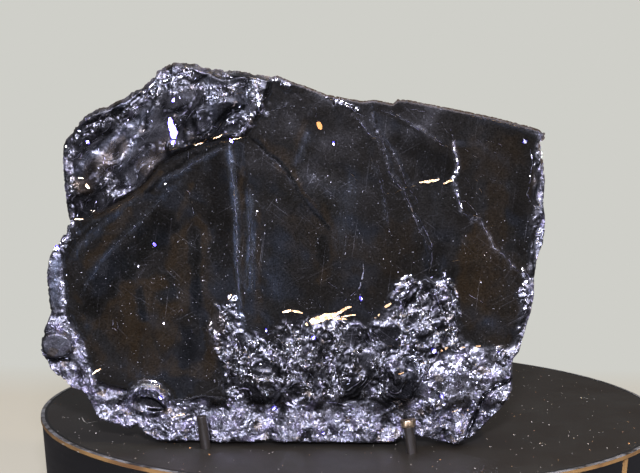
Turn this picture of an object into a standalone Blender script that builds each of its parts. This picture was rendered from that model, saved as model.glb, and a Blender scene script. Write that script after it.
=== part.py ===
"""Molybdenite specimen on its round display base.

A foliated plate of molybdenite stands on edge on a laminate-clad drum. Two short pins in front of its foot
and two taller pins behind it keep it upright. Metres, +Z up. The origin is the centre of the underside.
"""

from math import cos, radians, sin, tan

import bmesh
import bpy
from mathutils import Matrix, Vector

# Driving dimensions of the base.
BASE_HEIGHT = 0.030
BASE_RADIUS = 0.100  # at the top edge
SIDE_LEAN = radians(5.0)  # the side leans in towards the bottom
SHEET_THICKNESS = 0.0015
SHEET_CHAMFER = 0.0005
BAND_THICKNESS = 0.0010
BAND_FOOT = 0.0005  # the strip stops this far above the underside
SEAM_ANGLE = radians(-38.0)  # where the strip's ends meet, from +X
SEAM_GAP = 0.0010
ROUND_STEPS = 96
JOINT_GAP = 0.0003  # between pieces that touch

# Driving dimensions of the pins.
PIN_RADIUS = 0.0015
PIN_TIP_RADIUS = 0.0004  # edge rounding
PIN_DEPTH = 0.012  # below the top of the base
FRONT_PIN_HEIGHT = 0.0098
REAR_PIN_HEIGHT = 0.026
PIN_LEAN = radians(-8.0)  # the front pins lean towards -X
PIN_SIDES = 20
PINS = (
    ("front_left_pin", -0.0436, -0.0582, FRONT_PIN_HEIGHT, PIN_LEAN),
    ("front_right_pin", 0.0164, -0.0620, FRONT_PIN_HEIGHT, PIN_LEAN),
    ("rear_left_pin", -0.0450, -0.0345, REAR_PIN_HEIGHT, 0.0),
    ("rear_right_pin", 0.0130, -0.0345, REAR_PIN_HEIGHT, 0.0),
)

# Driving dimensions of the slab. The outline is its widest section, X along the base and Z above the base.
SLAB_OUTLINE = (
    (-0.0840, 0.0660),
    (-0.0848, 0.0710),
    (-0.0857, 0.0836),
    (-0.0849, 0.0895),
    (-0.0797, 0.0959),
    (-0.0729, 0.0992),
    (-0.0659, 0.1033),
    (-0.0601, 0.1069),
    (-0.0555, 0.1112),
    (-0.0500, 0.1121),
    (-0.0456, 0.1110),
    (-0.0350, 0.1098),
    (-0.0235, 0.1084),
    (-0.0091, 0.1032),
    (0.0013, 0.1014),
    (0.0148, 0.1018),
    (0.0300, 0.0988),
    (0.0450, 0.0956),
    (0.0546, 0.0928),
    (0.0546, 0.0885),
    (0.0546, 0.0785),
    (0.0550, 0.0660),
    (0.0530, 0.0560),
    (0.0522, 0.0450),
    (0.0502, 0.0355),
    (0.0483, 0.0282),
    (0.0464, 0.0250),
    (0.0465, 0.0174),
    (0.0430, 0.0110),
    (0.0383, 0.0058),
    (0.0327, 0.0012),
    (0.0265, 0.0004),
    (0.0197, 0.0022),
    (0.0144, 0.0022),
    (0.0084, 0.0004),
    (-0.0100, 0.0003),
    (-0.0250, 0.0006),
    (-0.0354, 0.0003),
    (-0.0543, 0.0003),
    (-0.0605, 0.0018),
    (-0.0643, 0.0046),
    (-0.0696, 0.0053),
    (-0.0755, 0.0072),
    (-0.0786, 0.0124),
    (-0.0838, 0.0163),
    (-0.0896, 0.0217),
    (-0.0928, 0.0275),
    (-0.0905, 0.0365),
    (-0.0908, 0.0500),
    (-0.0889, 0.0570),
    (-0.0864, 0.0606),
)
SLAB_MIDDLE = (-0.018, 0.052)  # the sections are drawn in towards this point
SLAB_REACH = (0.070, 0.055)  # from the middle to a side, and to the top or foot
# Each section: its Y, and how far it is drawn in at the sides, the top and the foot.
FRONT_SECTIONS = (
    (-0.0545, 0.0010, 0.0010, 0.0060),
    (-0.0563, 0.0022, 0.0020, 0.0115),
    (-0.0592, 0.0050, 0.0045, 0.0150),
    (-0.0610, 0.0090, 0.0080, 0.0190),
)
WIDEST_FRONT = -0.0520
WIDEST_BACK = -0.0470
BACK_SECTIONS = (
    (-0.0410, 0.0030, 0.0030, 0.0040),
    (-0.0370, 0.0090, 0.0090, 0.0110),
)


def clear_scene():
    for leftover in list(bpy.data.objects):
        bpy.data.objects.remove(leftover, do_unlink=True)


def make_collection(name):
    collection = bpy.data.collections.new(name)
    bpy.context.scene.collection.children.link(collection)
    return collection


def make_material(name, color, roughness, metallic=0.0):
    material = bpy.data.materials.new(name)
    material.use_nodes = True
    shader = material.node_tree.nodes["Principled BSDF"]
    shader.inputs["Base Color"].default_value = (*color, 1.0)
    shader.inputs["Roughness"].default_value = roughness
    shader.inputs["Metallic"].default_value = metallic
    return material


def add_object(name, mesh, collection, material=None):
    piece = bpy.data.objects.new(name, mesh)
    collection.objects.link(piece)
    if material:
        mesh.materials.append(material)
    return piece


def turned(name, profile, collection, material):
    """A solid of revolution from (radius, height) points, which run down the outer side from the axis."""
    mesh = bpy.data.meshes.new(name)
    points = [(radius, 0.0, height) for radius, height in profile]
    edges = [(i, i + 1) for i in range(len(points) - 1)]
    mesh.from_pydata(points, edges, [])
    piece = add_object(name, mesh, collection, material)
    screw = piece.modifiers.new("turn", "SCREW")
    screw.steps = ROUND_STEPS
    screw.render_steps = ROUND_STEPS
    screw.use_merge_vertices = True
    screw.merge_threshold = 0.00001
    return piece


def side_radius(height):
    """The drum's outer radius at a height above the underside."""
    return BASE_RADIUS - (BASE_HEIGHT - height) * tan(SIDE_LEAN)


def base_core(collection, material):
    top = BASE_HEIGHT - SHEET_THICKNESS - JOINT_GAP
    skin = BAND_THICKNESS + JOINT_GAP
    profile = ((0.0, top), (side_radius(top) - skin, top), (side_radius(0.0) - skin, 0.0), (0.0, 0.0))
    return turned("base_core", profile, collection, material)


def base_top_sheet(collection, material):
    top = BASE_HEIGHT
    foot = BASE_HEIGHT - SHEET_THICKNESS
    profile = (
        (0.0, top),
        (BASE_RADIUS - SHEET_CHAMFER, top),
        (BASE_RADIUS, top - SHEET_CHAMFER),
        (side_radius(foot), foot),
        (0.0, foot),
    )
    return turned("base_top_sheet", profile, collection, material)


def base_edge_band(collection, material):
    """The strip is a line turned most of the way round, then thickened inwards."""
    top = BASE_HEIGHT - SHEET_THICKNESS - JOINT_GAP
    half_gap = 0.5 * SEAM_GAP / BASE_RADIUS
    mesh = bpy.data.meshes.new("base_edge_band")
    start = SEAM_ANGLE + half_gap
    line = [
        (side_radius(height) * cos(start), side_radius(height) * sin(start), height)
        for height in (top, BAND_FOOT)
    ]
    mesh.from_pydata(line, [(0, 1)], [])
    piece = add_object("base_edge_band", mesh, collection, material)
    screw = piece.modifiers.new("wrap", "SCREW")
    screw.angle = radians(360.0) - 2.0 * half_gap
    screw.steps = ROUND_STEPS
    screw.render_steps = ROUND_STEPS
    thicken = piece.modifiers.new("thickness", "SOLIDIFY")
    thicken.thickness = BAND_THICKNESS
    thicken.offset = -1.0
    return piece


def pin_matrix(x, y, lean):
    """A pin stands on the base's top face, turned about its foot there."""
    return Matrix.Translation((x, y, BASE_HEIGHT)) @ Matrix.Rotation(lean, 4, "Y")


def rod(name, radius, low, high, rounding):
    """A round bar along Z from low to high, with its edges bevelled by the given amount."""
    mesh = bpy.data.meshes.new(name)
    shape = bmesh.new()
    bmesh.ops.create_cone(
        shape,
        cap_ends=True,
        segments=PIN_SIDES,
        radius1=radius,
        radius2=radius,
        depth=high - low,
        matrix=Matrix.Translation((0.0, 0.0, 0.5 * (low + high))),
    )
    if rounding:
        rims = [edge for edge in shape.edges if len({round(v.co.z, 6) for v in edge.verts}) == 1]
        bmesh.ops.bevel(shape, geom=rims, offset=rounding, segments=2, profile=0.5, affect="EDGES")
    shape.to_mesh(mesh)
    shape.free()
    return mesh


def add_pins(parts, cutters, material, drilled):
    """Each pin sits in a hole through the top sheet into the core."""
    for name, x, y, height, lean in PINS:
        pin = add_object(name, rod(name, PIN_RADIUS, -PIN_DEPTH, height, PIN_TIP_RADIUS), parts, material)
        pin.matrix_world = pin_matrix(x, y, lean)
        hole_foot = -PIN_DEPTH - JOINT_GAP
        drill_mesh = rod(f"{name}_hole", PIN_RADIUS + JOINT_GAP, hole_foot, 0.5 * height, 0.0)
        drill = add_object(f"{name}_hole", drill_mesh, cutters)
        drill.matrix_world = pin_matrix(x, y, lean)
        drill.hide_render = True
        drill.display_type = "WIRE"
        for board in drilled:
            cut = board.modifiers.new(f"hole for {name}", "BOOLEAN")
            cut.operation = "DIFFERENCE"
            cut.object = drill


def draw_in(point, side, top, foot):
    """The outline point moved towards the slab's middle, by the given widths at its far edges."""
    across = 1.0 - side / SLAB_REACH[0]
    up = 1.0 - (top if point.z > SLAB_MIDDLE[1] else foot) / SLAB_REACH[1]
    x = SLAB_MIDDLE[0] + (point.x - SLAB_MIDDLE[0]) * across
    z = SLAB_MIDDLE[1] + (point.z - SLAB_MIDDLE[1]) * up
    return Vector((x, point.y, z))


def slab_section(shape, depth, side, top, foot):
    """One ring of the plate's loft: the outline at this depth, drawn in by the given widths."""
    return [shape.verts.new(draw_in(Vector((x, depth, z)), side, top, foot)) for x, z in SLAB_OUTLINE]


def molybdenite_slab(collection, material):
    """One closed plate, lofted from the back face through the widest section to the front face."""
    sections = (
        *reversed(BACK_SECTIONS),
        (WIDEST_BACK, 0.0, 0.0, 0.0),
        (WIDEST_FRONT, 0.0, 0.0, 0.0),
        *FRONT_SECTIONS,
    )
    mesh = bpy.data.meshes.new("molybdenite_slab")
    shape = bmesh.new()
    rings = [slab_section(shape, *section) for section in sections]
    for behind, before in zip(rings, rings[1:]):
        for i in range(len(behind)):
            shape.faces.new((behind[i - 1], behind[i], before[i], before[i - 1]))
    shape.faces.new(rings[0])
    shape.faces.new(rings[-1])
    bmesh.ops.recalc_face_normals(shape, faces=shape.faces)
    shape.to_mesh(mesh)
    shape.free()
    piece = add_object("molybdenite_slab", mesh, collection, material)
    piece.location.z = BASE_HEIGHT
    return piece


def shade_round(piece):
    piece.data.shade_smooth()
    piece.data.set_sharp_from_angle(angle=radians(35.0))


def build():
    clear_scene()
    parts = make_collection("molybdenite specimen")
    cutters = make_collection("cutters")
    mineral = make_material("molybdenite", (0.05, 0.05, 0.06), 0.25, 1.0)
    board = make_material("board", (0.30, 0.20, 0.12), 0.8)
    sheet = make_material("dark laminate top", (0.045, 0.04, 0.037), 0.5)
    band = make_material("black laminate edge", (0.012, 0.012, 0.014), 0.45)
    painted = make_material("painted brass", (0.03, 0.027, 0.022), 0.4, 0.3)

    core = base_core(parts, board)
    top = base_top_sheet(parts, sheet)
    strip = base_edge_band(parts, band)
    add_pins(parts, cutters, painted, (core, top))
    molybdenite_slab(parts, mineral)
    for piece in (core, top, strip):
        shade_round(piece)


build()
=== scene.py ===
"""Molybdenite plate standing on its round display base: the finished look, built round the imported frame."""

import math

import bmesh
import bpy
import numpy as np
from mathutils import Matrix, Vector, geometry
from mathutils.bvhtree import BVHTree


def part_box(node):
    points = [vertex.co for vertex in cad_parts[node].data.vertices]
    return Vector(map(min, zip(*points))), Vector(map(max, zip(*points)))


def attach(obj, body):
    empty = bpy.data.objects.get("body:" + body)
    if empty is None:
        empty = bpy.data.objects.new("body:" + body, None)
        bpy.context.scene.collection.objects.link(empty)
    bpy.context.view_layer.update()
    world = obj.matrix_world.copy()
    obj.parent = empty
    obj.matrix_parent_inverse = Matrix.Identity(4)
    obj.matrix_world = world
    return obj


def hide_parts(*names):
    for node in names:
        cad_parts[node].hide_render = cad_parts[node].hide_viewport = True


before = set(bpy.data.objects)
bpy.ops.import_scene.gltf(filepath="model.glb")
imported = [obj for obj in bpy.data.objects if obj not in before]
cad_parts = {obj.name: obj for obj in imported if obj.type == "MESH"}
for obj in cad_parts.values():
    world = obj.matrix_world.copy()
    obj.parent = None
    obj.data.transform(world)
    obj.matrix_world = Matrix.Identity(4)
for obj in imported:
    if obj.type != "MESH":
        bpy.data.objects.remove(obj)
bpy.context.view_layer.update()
MM = 0.001


# ---------------------------------------------------------------------------------------------------------
# The board drum. A solid disc of brown fibreboard carries everything. It is sawn, then sanded to a slight
# lean, and only its underside stays bare. The CAD solid keeps its shape and gets the board's look.

FIBREBOARD_BROWN = (0.23, 0.145, 0.08, 1.0)
FIBREBOARD_PALE = (0.36, 0.25, 0.15, 1.0)


def put(tree, value, socket):
    """A link into the socket, or a plain value on it."""
    if isinstance(value, bpy.types.NodeSocket):
        tree.links.new(value, socket)
    else:
        socket.default_value = value


def node_maker(tree):
    """A function that adds a node with its settings and inputs. An input goes by its label, or by its
    number as i0, i1 and so on."""

    def add(kind, settings=None, **inputs):
        node = tree.nodes.new(kind)
        for key, value in (settings or {}).items():
            setattr(node, key, value)
        for key, value in inputs.items():
            numbered = key[0] == "i" and key[1:].isdigit()
            put(tree, value, node.inputs[int(key[1:])] if numbered else node.inputs[key])
        return node

    return add


def new_material(name):
    """A function that adds nodes to a new material, and one that fills its shader's inputs and returns it."""
    material = bpy.data.materials.new(name)
    material.use_nodes = True
    tree = material.node_tree

    def finished(inputs):
        for label, value in inputs.items():
            put(tree, value, tree.nodes["Principled BSDF"].inputs[label])
        return material

    return node_maker(tree), finished


def object_coords(add, scale=(1.0, 1.0, 1.0), turn=(0.0, 0.0, 0.0)):
    """The piece's own coordinates in metres, turned and then stretched."""
    coords = add("ShaderNodeTexCoord").outputs["Object"]
    turned = add("ShaderNodeMapping", Vector=coords, Rotation=turn)
    return add("ShaderNodeMapping", Vector=turned.outputs[0], Scale=scale).outputs[0]


def noise(add, coords, scale, detail, **others):
    """The value of a noise pattern."""
    return add("ShaderNodeTexNoise", Vector=coords, Scale=scale, Detail=detail, **others).outputs["Fac"]


def grey(value):
    """A neutral colour."""
    return (value, value, value, 1.0)


def ramp(add, factor, *stops):
    """A colour ramp from (position, colour) stops. A plain number stands for a grey."""
    node = add("ShaderNodeValToRGB", Fac=factor)
    band = node.color_ramp
    while len(band.elements) < len(stops):
        band.elements.new(0.5)
    for element, (position, color) in zip(band.elements, stops):
        element.position = position
        element.color = color if isinstance(color, tuple) else grey(color)
    return node.outputs["Color"]


def mixed(add, share, color, other, way="MIX"):
    """A share of the other colour mixed into the first."""
    return add("ShaderNodeMixRGB", {"blend_type": way}, Fac=share, Color1=color, Color2=other).outputs[0]


def bumped(add, height, strength, distance, **others):
    """The normal of a surface with small relief."""
    return add("ShaderNodeBump", Strength=strength, Distance=distance, Height=height, **others).outputs[0]


def fibreboard():
    """Brown board with a fine pale fleck."""
    add, finished = new_material("fibreboard")
    fine = noise(add, object_coords(add), 900.0, 4.0)
    color = ramp(add, fine, (0.35, FIBREBOARD_BROWN), (0.65, FIBREBOARD_PALE))
    return finished({"Base Color": color, "Roughness": 0.85, "Normal": bumped(add, fine, 0.4, 0.3 * MM)})


board = fibreboard()
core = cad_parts["base_core"]
core.data.materials.clear()
core.data.materials.append(board)


# ---------------------------------------------------------------------------------------------------------
# The top sheet. A disc of dark brown-grey laminate is glued to the drum. Its trimmed edge shows a near-black
# painted shadow line in a shallow groove, a thin grey painted highlight line on the bevel and, below that,
# the golden-brown paper core of the laminate, a little chipped.

ROUND_STEPS = 360
SHEET_LOW, SHEET_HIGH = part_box("base_top_sheet")
TOP = SHEET_HIGH.z
SHEET_FOOT = SHEET_LOW.z
BASE_RADIUS = SHEET_HIGH.x
FACE_RADIUS = 0.97 * BASE_RADIUS
SHEET_BEVEL = 0.00045
GROOVE_INNER = 0.0021  # a shallow groove runs round just inside the bevel, painted near-black as a shadow line
GROOVE_OUTER = 0.0012
GROOVE_DEPTH = 0.00015
CORE_LINE = 0.0013
FOOT_INSET = 0.0004
SHARP_EDGE = math.radians(30.0)
LAMINATE_DARK = (0.0210, 0.0175, 0.0130, 1.0)
LAMINATE_LIGHT = (0.0320, 0.0305, 0.0255, 1.0)
DUST_PALE = (0.16, 0.15, 0.14, 1.0)
# painted shade: the near-black of the groove stands for its shadow line
GROOVE_PAINTED_SHADE = (0.006, 0.006, 0.005, 1.0)
# painted highlight: the grey stands for the light line along the bevel
BEVEL_PAINTED_HIGHLIGHT = (0.20, 0.20, 0.20, 1.0)
PAPER_CORE = (0.30, 0.175, 0.062, 1.0)
PAPER_CORE_DARK = (0.16, 0.08, 0.03, 1.0)


def piece_from(name, points, faces, materials=(), face_material=None, smooth=True):
    """A mesh object from arrays of points in metres and of faces."""
    mesh = bpy.data.meshes.new(name)
    mesh.from_pydata([tuple(point) for point in points], [], [tuple(face) for face in faces])
    for material in materials:
        mesh.materials.append(material)
    if face_material is not None:
        mesh.polygons.foreach_set("material_index", np.asarray(face_material, np.int32))
    mesh.polygons.foreach_set("use_smooth", np.full(len(faces), smooth, bool))
    mesh.update()
    piece = bpy.data.objects.new(name, mesh)
    bpy.context.scene.collection.objects.link(piece)
    return piece


def turned_piece(name, profile, materials, band_material, steps=ROUND_STEPS):
    """A closed turned solid. The profile of (radius, height) starts and ends on the axis, top to bottom."""
    angles = np.arange(steps) * (2.0 * math.pi / steps)
    points = [(0.0, 0.0, profile[0][1]), (0.0, 0.0, profile[-1][1])]
    for radius, height in profile[1:-1]:
        points += [(radius * math.cos(a), radius * math.sin(a), height) for a in angles]
    bands = len(profile) - 3
    last = 2 + bands * steps
    faces, kinds = [], []
    for i in range(steps):
        after = (i + 1) % steps
        faces.append((0, 2 + i, 2 + after))
        for upper in range(2, last, steps):
            lower = upper + steps
            faces.append((upper + i, lower + i, lower + after, upper + after))
        faces.append((1, last + after, last + i))
        kinds += band_material
    piece = piece_from(name, points, faces, materials, kinds)
    piece.data.set_sharp_from_angle(angle=SHARP_EDGE)
    return piece


def laminate_face():
    """Matt dark laminate with a faint mottle, fine grain and dusty wear."""
    add, finished = new_material("dark laminate")
    coords = object_coords(add)
    mottle = noise(add, coords, 55.0, 5.0, Roughness=0.65)
    color = ramp(add, mottle, (0.35, LAMINATE_DARK), (0.7, LAMINATE_LIGHT))
    dusty = ramp(add, noise(add, coords, 1400.0, 2.0), (0.66, 0.0), (0.78, 0.35))
    return finished({
        "Base Color": mixed(add, dusty, color, DUST_PALE),
        "Roughness": ramp(add, mottle, (0.3, 0.40), (0.7, 0.52)),
        "Specular IOR Level": 0.20,
        "Normal": bumped(add, noise(add, coords, 2600.0, 2.0), 0.35, 0.1 * MM),
    })


def plain_look(name, color, roughness):
    """One colour and one roughness."""
    _, finished = new_material(name)
    return finished({"Base Color": color, "Roughness": roughness})


def painted_bevel_highlight():
    """The bevel and the strip inside it: a painted grey highlight line, broken by darker gaps."""
    add, finished = new_material("laminate bevel")
    highlight_breaks = noise(add, object_coords(add), 220.0, 3.0)
    color = ramp(add, highlight_breaks, (0.36, LAMINATE_DARK), (0.55, BEVEL_PAINTED_HIGHLIGHT))
    return finished({"Base Color": color, "Roughness": 0.45})


def laminate_core():
    """Golden-brown resin paper, in thin layers, with darker stained stretches."""
    add, finished = new_material("laminate core")
    stain = noise(add, object_coords(add), 70.0, 4.0)
    color = ramp(add, stain, (0.35, PAPER_CORE_DARK), (0.58, PAPER_CORE))
    layers = noise(add, object_coords(add, (60.0, 60.0, 5000.0)), 1.0, 2.0)
    shade = ramp(add, layers, (0.3, 0.75), (0.7, 1.0))
    return finished({"Base Color": mixed(add, 1.0, color, shade, "MULTIPLY"), "Roughness": 0.5})


paper_core = laminate_core()
top_sheet = turned_piece(
    "laminate_top",
    (
        (0.0, TOP),
        (FACE_RADIUS, TOP),
        (BASE_RADIUS - GROOVE_INNER, TOP),
        (BASE_RADIUS - 0.5 * (GROOVE_INNER + GROOVE_OUTER), TOP - GROOVE_DEPTH),
        (BASE_RADIUS - GROOVE_OUTER, TOP),
        (BASE_RADIUS - SHEET_BEVEL, TOP),
        (BASE_RADIUS, TOP - 0.4 * SHEET_BEVEL),
        (BASE_RADIUS, TOP - CORE_LINE),
        (BASE_RADIUS - FOOT_INSET, SHEET_FOOT),
        (0.0, SHEET_FOOT),
    ),
    (laminate_face(), painted_bevel_highlight(), paper_core, board, plain_look("groove", GROOVE_PAINTED_SHADE, 0.6)),
    (0, 0, 4, 4, 1, 1, 2, 2, 3),
)
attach(top_sheet, "root")
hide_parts("base_top_sheet")


# ---------------------------------------------------------------------------------------------------------
# The edge strip. Black laminate 1 mm thick is bent round the drum and glued. Its two ends meet in an upright
# butt seam at the front right, where they were sanded through to the brown core.

BAND_LOW, BAND_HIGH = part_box("base_edge_band")
BAND_THICKNESS = 0.0010
BAND_EASING = 0.0002  # the lower outer edge is eased by hand
SIDE_LEAN = math.tan(math.radians(5.0))
SEAM_ANGLE = math.radians(-38.0)
SEAM_HALF_GAP = 0.0004
SEAM_SANDING = 0.0012  # width sanded through to the core on each side
SEAM_THINNING = 0.0005
BAND_BLACK = (0.0055, 0.0055, 0.006, 1.0)
BAND_SPECK = (0.12, 0.12, 0.11, 1.0)


def band_face():
    """Black satin laminate with light scuffs and a few pale specks."""
    add, finished = new_material("black laminate")
    scuff = noise(add, object_coords(add, (40.0, 40.0, 240.0)), 1.0, 5.0)
    specks = ramp(add, noise(add, object_coords(add), 1100.0, 1.0), (0.74, 0.0), (0.80, 0.5))
    color = mixed(add, specks, BAND_BLACK, BAND_SPECK)
    return finished({"Base Color": color, "Roughness": ramp(add, scuff, (0.3, 0.38), (0.7, 0.55))})


def turn_outward(piece, split=False):
    """Turns every face outwards, and first splits those with more than three sides where asked."""
    shape = bmesh.new()
    shape.from_mesh(piece.data)
    if split:
        bmesh.ops.triangulate(shape, faces=[face for face in shape.faces if len(face.verts) > 3])
    bmesh.ops.recalc_face_normals(shape, faces=shape.faces)
    shape.to_mesh(piece.data)
    shape.free()


def wrapped_band(name, materials):
    """The strip's section is swept round from one side of the seam to the other, with closed ends."""
    foot = BAND_LOW.z
    outer_top = BASE_RADIUS - FOOT_INSET
    outer_foot = BAND_HIGH.x - (BAND_HIGH.z - foot) * SIDE_LEAN
    section = (
        (outer_top - BAND_THICKNESS, SHEET_FOOT),
        (outer_top, SHEET_FOOT),
        (outer_foot, foot + BAND_EASING),
        (outer_foot - BAND_EASING, foot),
        (outer_foot - BAND_THICKNESS, foot),
    )
    sides = len(section)
    gap = SEAM_HALF_GAP / BASE_RADIUS
    sanding = SEAM_SANDING / BASE_RADIUS
    whole = 2.0 * math.pi - 2.0 * gap
    start = np.array((0.0, 0.35, 0.7, 1.0)) * sanding
    middle = np.linspace(sanding, whole - sanding, ROUND_STEPS)[1:-1]
    sweep = np.concatenate((start, middle, whole - start[::-1]))
    points, faces, kinds = [], [], []
    for angle in sweep:
        thinned = SEAM_THINNING * max(0.0, 1.0 - min(angle, whole - angle) / sanding)
        turn = SEAM_ANGLE + gap + angle
        for k, (radius, height) in enumerate(section):
            radius -= thinned if 0 < k < 4 else 0.0
            points.append((radius * math.cos(turn), radius * math.sin(turn), height))
    for i in range(len(sweep) - 1):
        sanded = min(i, len(sweep) - 2 - i) < len(start) - 1
        here, there = i * sides, (i + 1) * sides
        for k in range(sides):
            after = (k + 1) % sides
            faces.append((here + k, there + k, there + after, here + after))
            kinds.append(1 if sanded and k < 3 else 0)
    faces.append(tuple(range(sides)))
    faces.append(tuple(reversed(range((len(sweep) - 1) * sides, len(sweep) * sides))))
    kinds += [1, 1]
    piece = piece_from(name, points, faces, materials, kinds)
    turn_outward(piece)
    piece.data.set_sharp_from_angle(angle=SHARP_EDGE)
    return piece


edge_strip = wrapped_band("edge_strip", (band_face(), paper_core))
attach(edge_strip, "root")
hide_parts("base_edge_band")


# ---------------------------------------------------------------------------------------------------------
# The pins. Four lengths of brass rod are pushed into drilled holes and painted dark brown. The paint has
# worn off the tip of the front right one, and its end is spread a little.

PIN_DEPTH = 0.012
PIN_SIDES = 32
PIN_LEAN = math.radians(-8.0)
PIN_ROUNDING = 0.0004
PIN_SPREAD = 0.00055  # how much a bare tip is spread
SPREAD_LENGTH = 0.0006
PAINT_EDGE = 0.0009
PIN_PAINT = (0.020, 0.017, 0.014, 1.0)
BRASS = (0.40, 0.30, 0.19, 1.0)
# Each pin's place on the base, its height, its lean and the length of its bare tip.
PIN_PLACES = {
    "front_left_pin": (-0.0436, -0.0582, 0.0098, PIN_LEAN, 0.0),
    "front_right_pin": (0.0164, -0.0620, 0.0098, PIN_LEAN, 0.0022),
    "rear_left_pin": (-0.0450, -0.0345, 0.026, 0.0, 0.0),
    "rear_right_pin": (0.0130, -0.0345, 0.026, 0.0, 0.0),
}


def math_of(add, operation, *values):
    """The result of a Math node."""
    inputs = {f"i{number}": value for number, value in enumerate(values)}
    return add("ShaderNodeMath", {"operation": operation}, **inputs).outputs[0]


def height_of(add, coords):
    """The height part of a place or a direction."""
    return add("ShaderNodeSeparateXYZ", Vector=coords).outputs["Z"]


def pin_paint(name, bare_from, bare_to):
    """Dark paint, which gives way to bare brass between two heights above the underside."""
    add, finished = new_material(name)
    coords = add("ShaderNodeTexCoord").outputs["Object"]
    patchy = noise(add, coords, 700.0, 3.0)
    wobble = math_of(add, "MULTIPLY_ADD", patchy, 1.6 * MM, -0.8 * MM)
    level = math_of(add, "ADD", height_of(add, coords), wobble)
    bare = add("ShaderNodeMapRange", i0=level, i1=bare_from, i2=bare_to).outputs[0]
    return finished({
        "Base Color": mixed(add, bare, PIN_PAINT, BRASS),
        "Metallic": bare,
        "Roughness": ramp(add, patchy, (0.3, 0.30), (0.7, 0.45)),
        "Normal": bumped(add, patchy, 0.3, 0.1 * MM),
    })


def pin(name, x, y, height, lean, bare, radius):
    """A rod with a rounded tip, spread at the tip where it is bare."""
    spread = PIN_SPREAD if bare else 0.0
    neck = height - (bare or 0.001)
    profile = (
        (0.0, height),
        (radius - PIN_ROUNDING + spread, height),
        (radius - 0.3 * PIN_ROUNDING + spread, height - 0.3 * PIN_ROUNDING),
        (radius + spread, height - PIN_ROUNDING),
        (radius + spread, neck + SPREAD_LENGTH),
        (radius, neck),
        (radius, -PIN_DEPTH + PIN_ROUNDING),
        (radius - PIN_ROUNDING, -PIN_DEPTH),
        (0.0, -PIN_DEPTH),
    )
    bare_from = TOP + (neck if bare else 2.0 * height)
    paint = pin_paint(f"paint on {name}", bare_from, bare_from + PAINT_EDGE)
    piece = turned_piece(f"{name}_rod", profile, (paint,), (0,) * (len(profile) - 1), PIN_SIDES)
    for vertex in piece.data.vertices:
        if bare and vertex.co.z > neck:
            around = math.atan2(vertex.co.y, vertex.co.x)
            swell = 1.0 + 0.10 * math.sin(2.0 * around + 0.7) + 0.07 * math.sin(5.0 * around)
            vertex.co.x, vertex.co.y = vertex.co.x * swell, vertex.co.y * swell
            vertex.co.z += 0.0003 * math.sin(3.0 * around) * (vertex.co.z < height)
    piece.data.transform(Matrix.Translation((x, y, TOP)) @ Matrix.Rotation(lean, 4, "Y"))
    return piece


for pin_name, (x, y, height, lean, bare) in PIN_PLACES.items():
    pin_low, pin_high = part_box(pin_name)
    rod = pin(pin_name, x, y, height, lean, bare, 0.5 * (pin_high.y - pin_low.y))
    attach(rod, "root")
    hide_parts(pin_name)


# ---------------------------------------------------------------------------------------------------------
# The plate. One thick sheet of foliated molybdenite, cleaved to a dark mirror on its front, folded and torn
# into silvery leaves round its foot, its rims and its upper left. It stands on its edge between the pins.
# Plate positions are in millimetres: across, along +X, and up, above the base's top face.

PLATE_LOW, PLATE_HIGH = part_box("molybdenite_slab")
FACE = PLATE_LOW.y / MM
BACK = PLATE_HIGH.y / MM
MIRROR = FACE + 3.4  # the mirror face; torn leaves stand out to the box's front
FRONT_SHOULDER = FACE + 8.0  # where the front meets the rim wall
BACK_SHOULDER = BACK - 9.0
TOP_MM = TOP / MM

PLATE_OUTLINE = (
    (-84, 66), (-84.8, 71), (-85.4, 77.8), (-85.7, 83.6), (-85.6, 87.8), (-84.9, 89.5), (-83.2, 91.2),
    (-82, 93.2), (-79.7, 95.9), (-77.5, 97.6), (-75, 98.6), (-72.9, 98.9), (-70.4, 100.4), (-67.9, 101.4),
    (-65.9, 103.3), (-62.6, 104.8), (-60.1, 106.9), (-58, 109.8), (-55.5, 111), (-53.4, 111.9),
    (-46.8, 111.6), (-45.6, 110.6), (-40, 110), (-35, 109.7), (-30, 108.8), (-25.2, 108), (-23.5, 108.4),
    (-19.4, 106.7), (-15.3, 105.4), (-9.1, 103), (-5.8, 102.4), (1.3, 101.2), (5, 101.6), (10, 100.6),
    (11.3, 101.8), (14.8, 101.6), (20, 100.6), (30, 98.7), (40, 96.7), (49.8, 94.3), (54.6, 92.6), (54.7, 91),
    (53.3, 88.5), (54, 85.2), (54.8, 78.5), (54.4, 71.4), (55, 68), (55, 64.2), (54.5, 60), (53.5, 57.5),
    (52.8, 54.6), (52.2, 50), (52.3, 44.8), (51.4, 39.8), (50.2, 35.5), (48.3, 28.2), (46.6, 26.2),
    (46.3, 24.7), (46.5, 21.3), (46.5, 17.4), (45.5, 14.4), (43, 11), (40.5, 8.4), (38.3, 5.8), (35.3, 2.8),
    (32.7, 1.2), (29.8, 0.4), (26.5, 0.6), (23, 1.3), (19.7, 2.5), (14.4, 2.4), (11.8, 0.8), (8.4, 0.5),
    (0.8, 0.4), (-10, 0.4), (-20.7, 0.5), (-25, 0.9), (-30.4, 0.4), (-40, 0.4), (-46.7, 0.5), (-54.3, 0.5),
    (-58.5, 0.9), (-60.5, 1.8), (-62, 2.1), (-63.3, 4), (-64.3, 5.1), (-65.4, 4.2), (-67.1, 4), (-69.6, 5.3),
    (-72.6, 5.9), (-75.5, 7.2), (-77.4, 9.8), (-78.6, 12.4), (-79.8, 14.6), (-81.7, 15.6), (-83.8, 16.3),
    (-85.6, 18.2), (-87.5, 19.7), (-89.6, 21.7), (-90.8, 24), (-92.2, 26), (-92.8, 27.5), (-92.5, 30.5),
    (-91.6, 33.9), (-89.6, 38.6), (-90.4, 44.1), (-90.8, 50), (-89.9, 55.1), (-88.9, 57), (-87.2, 58.9),
    (-86.4, 60.6), (-85.1, 62.5),
)
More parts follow.
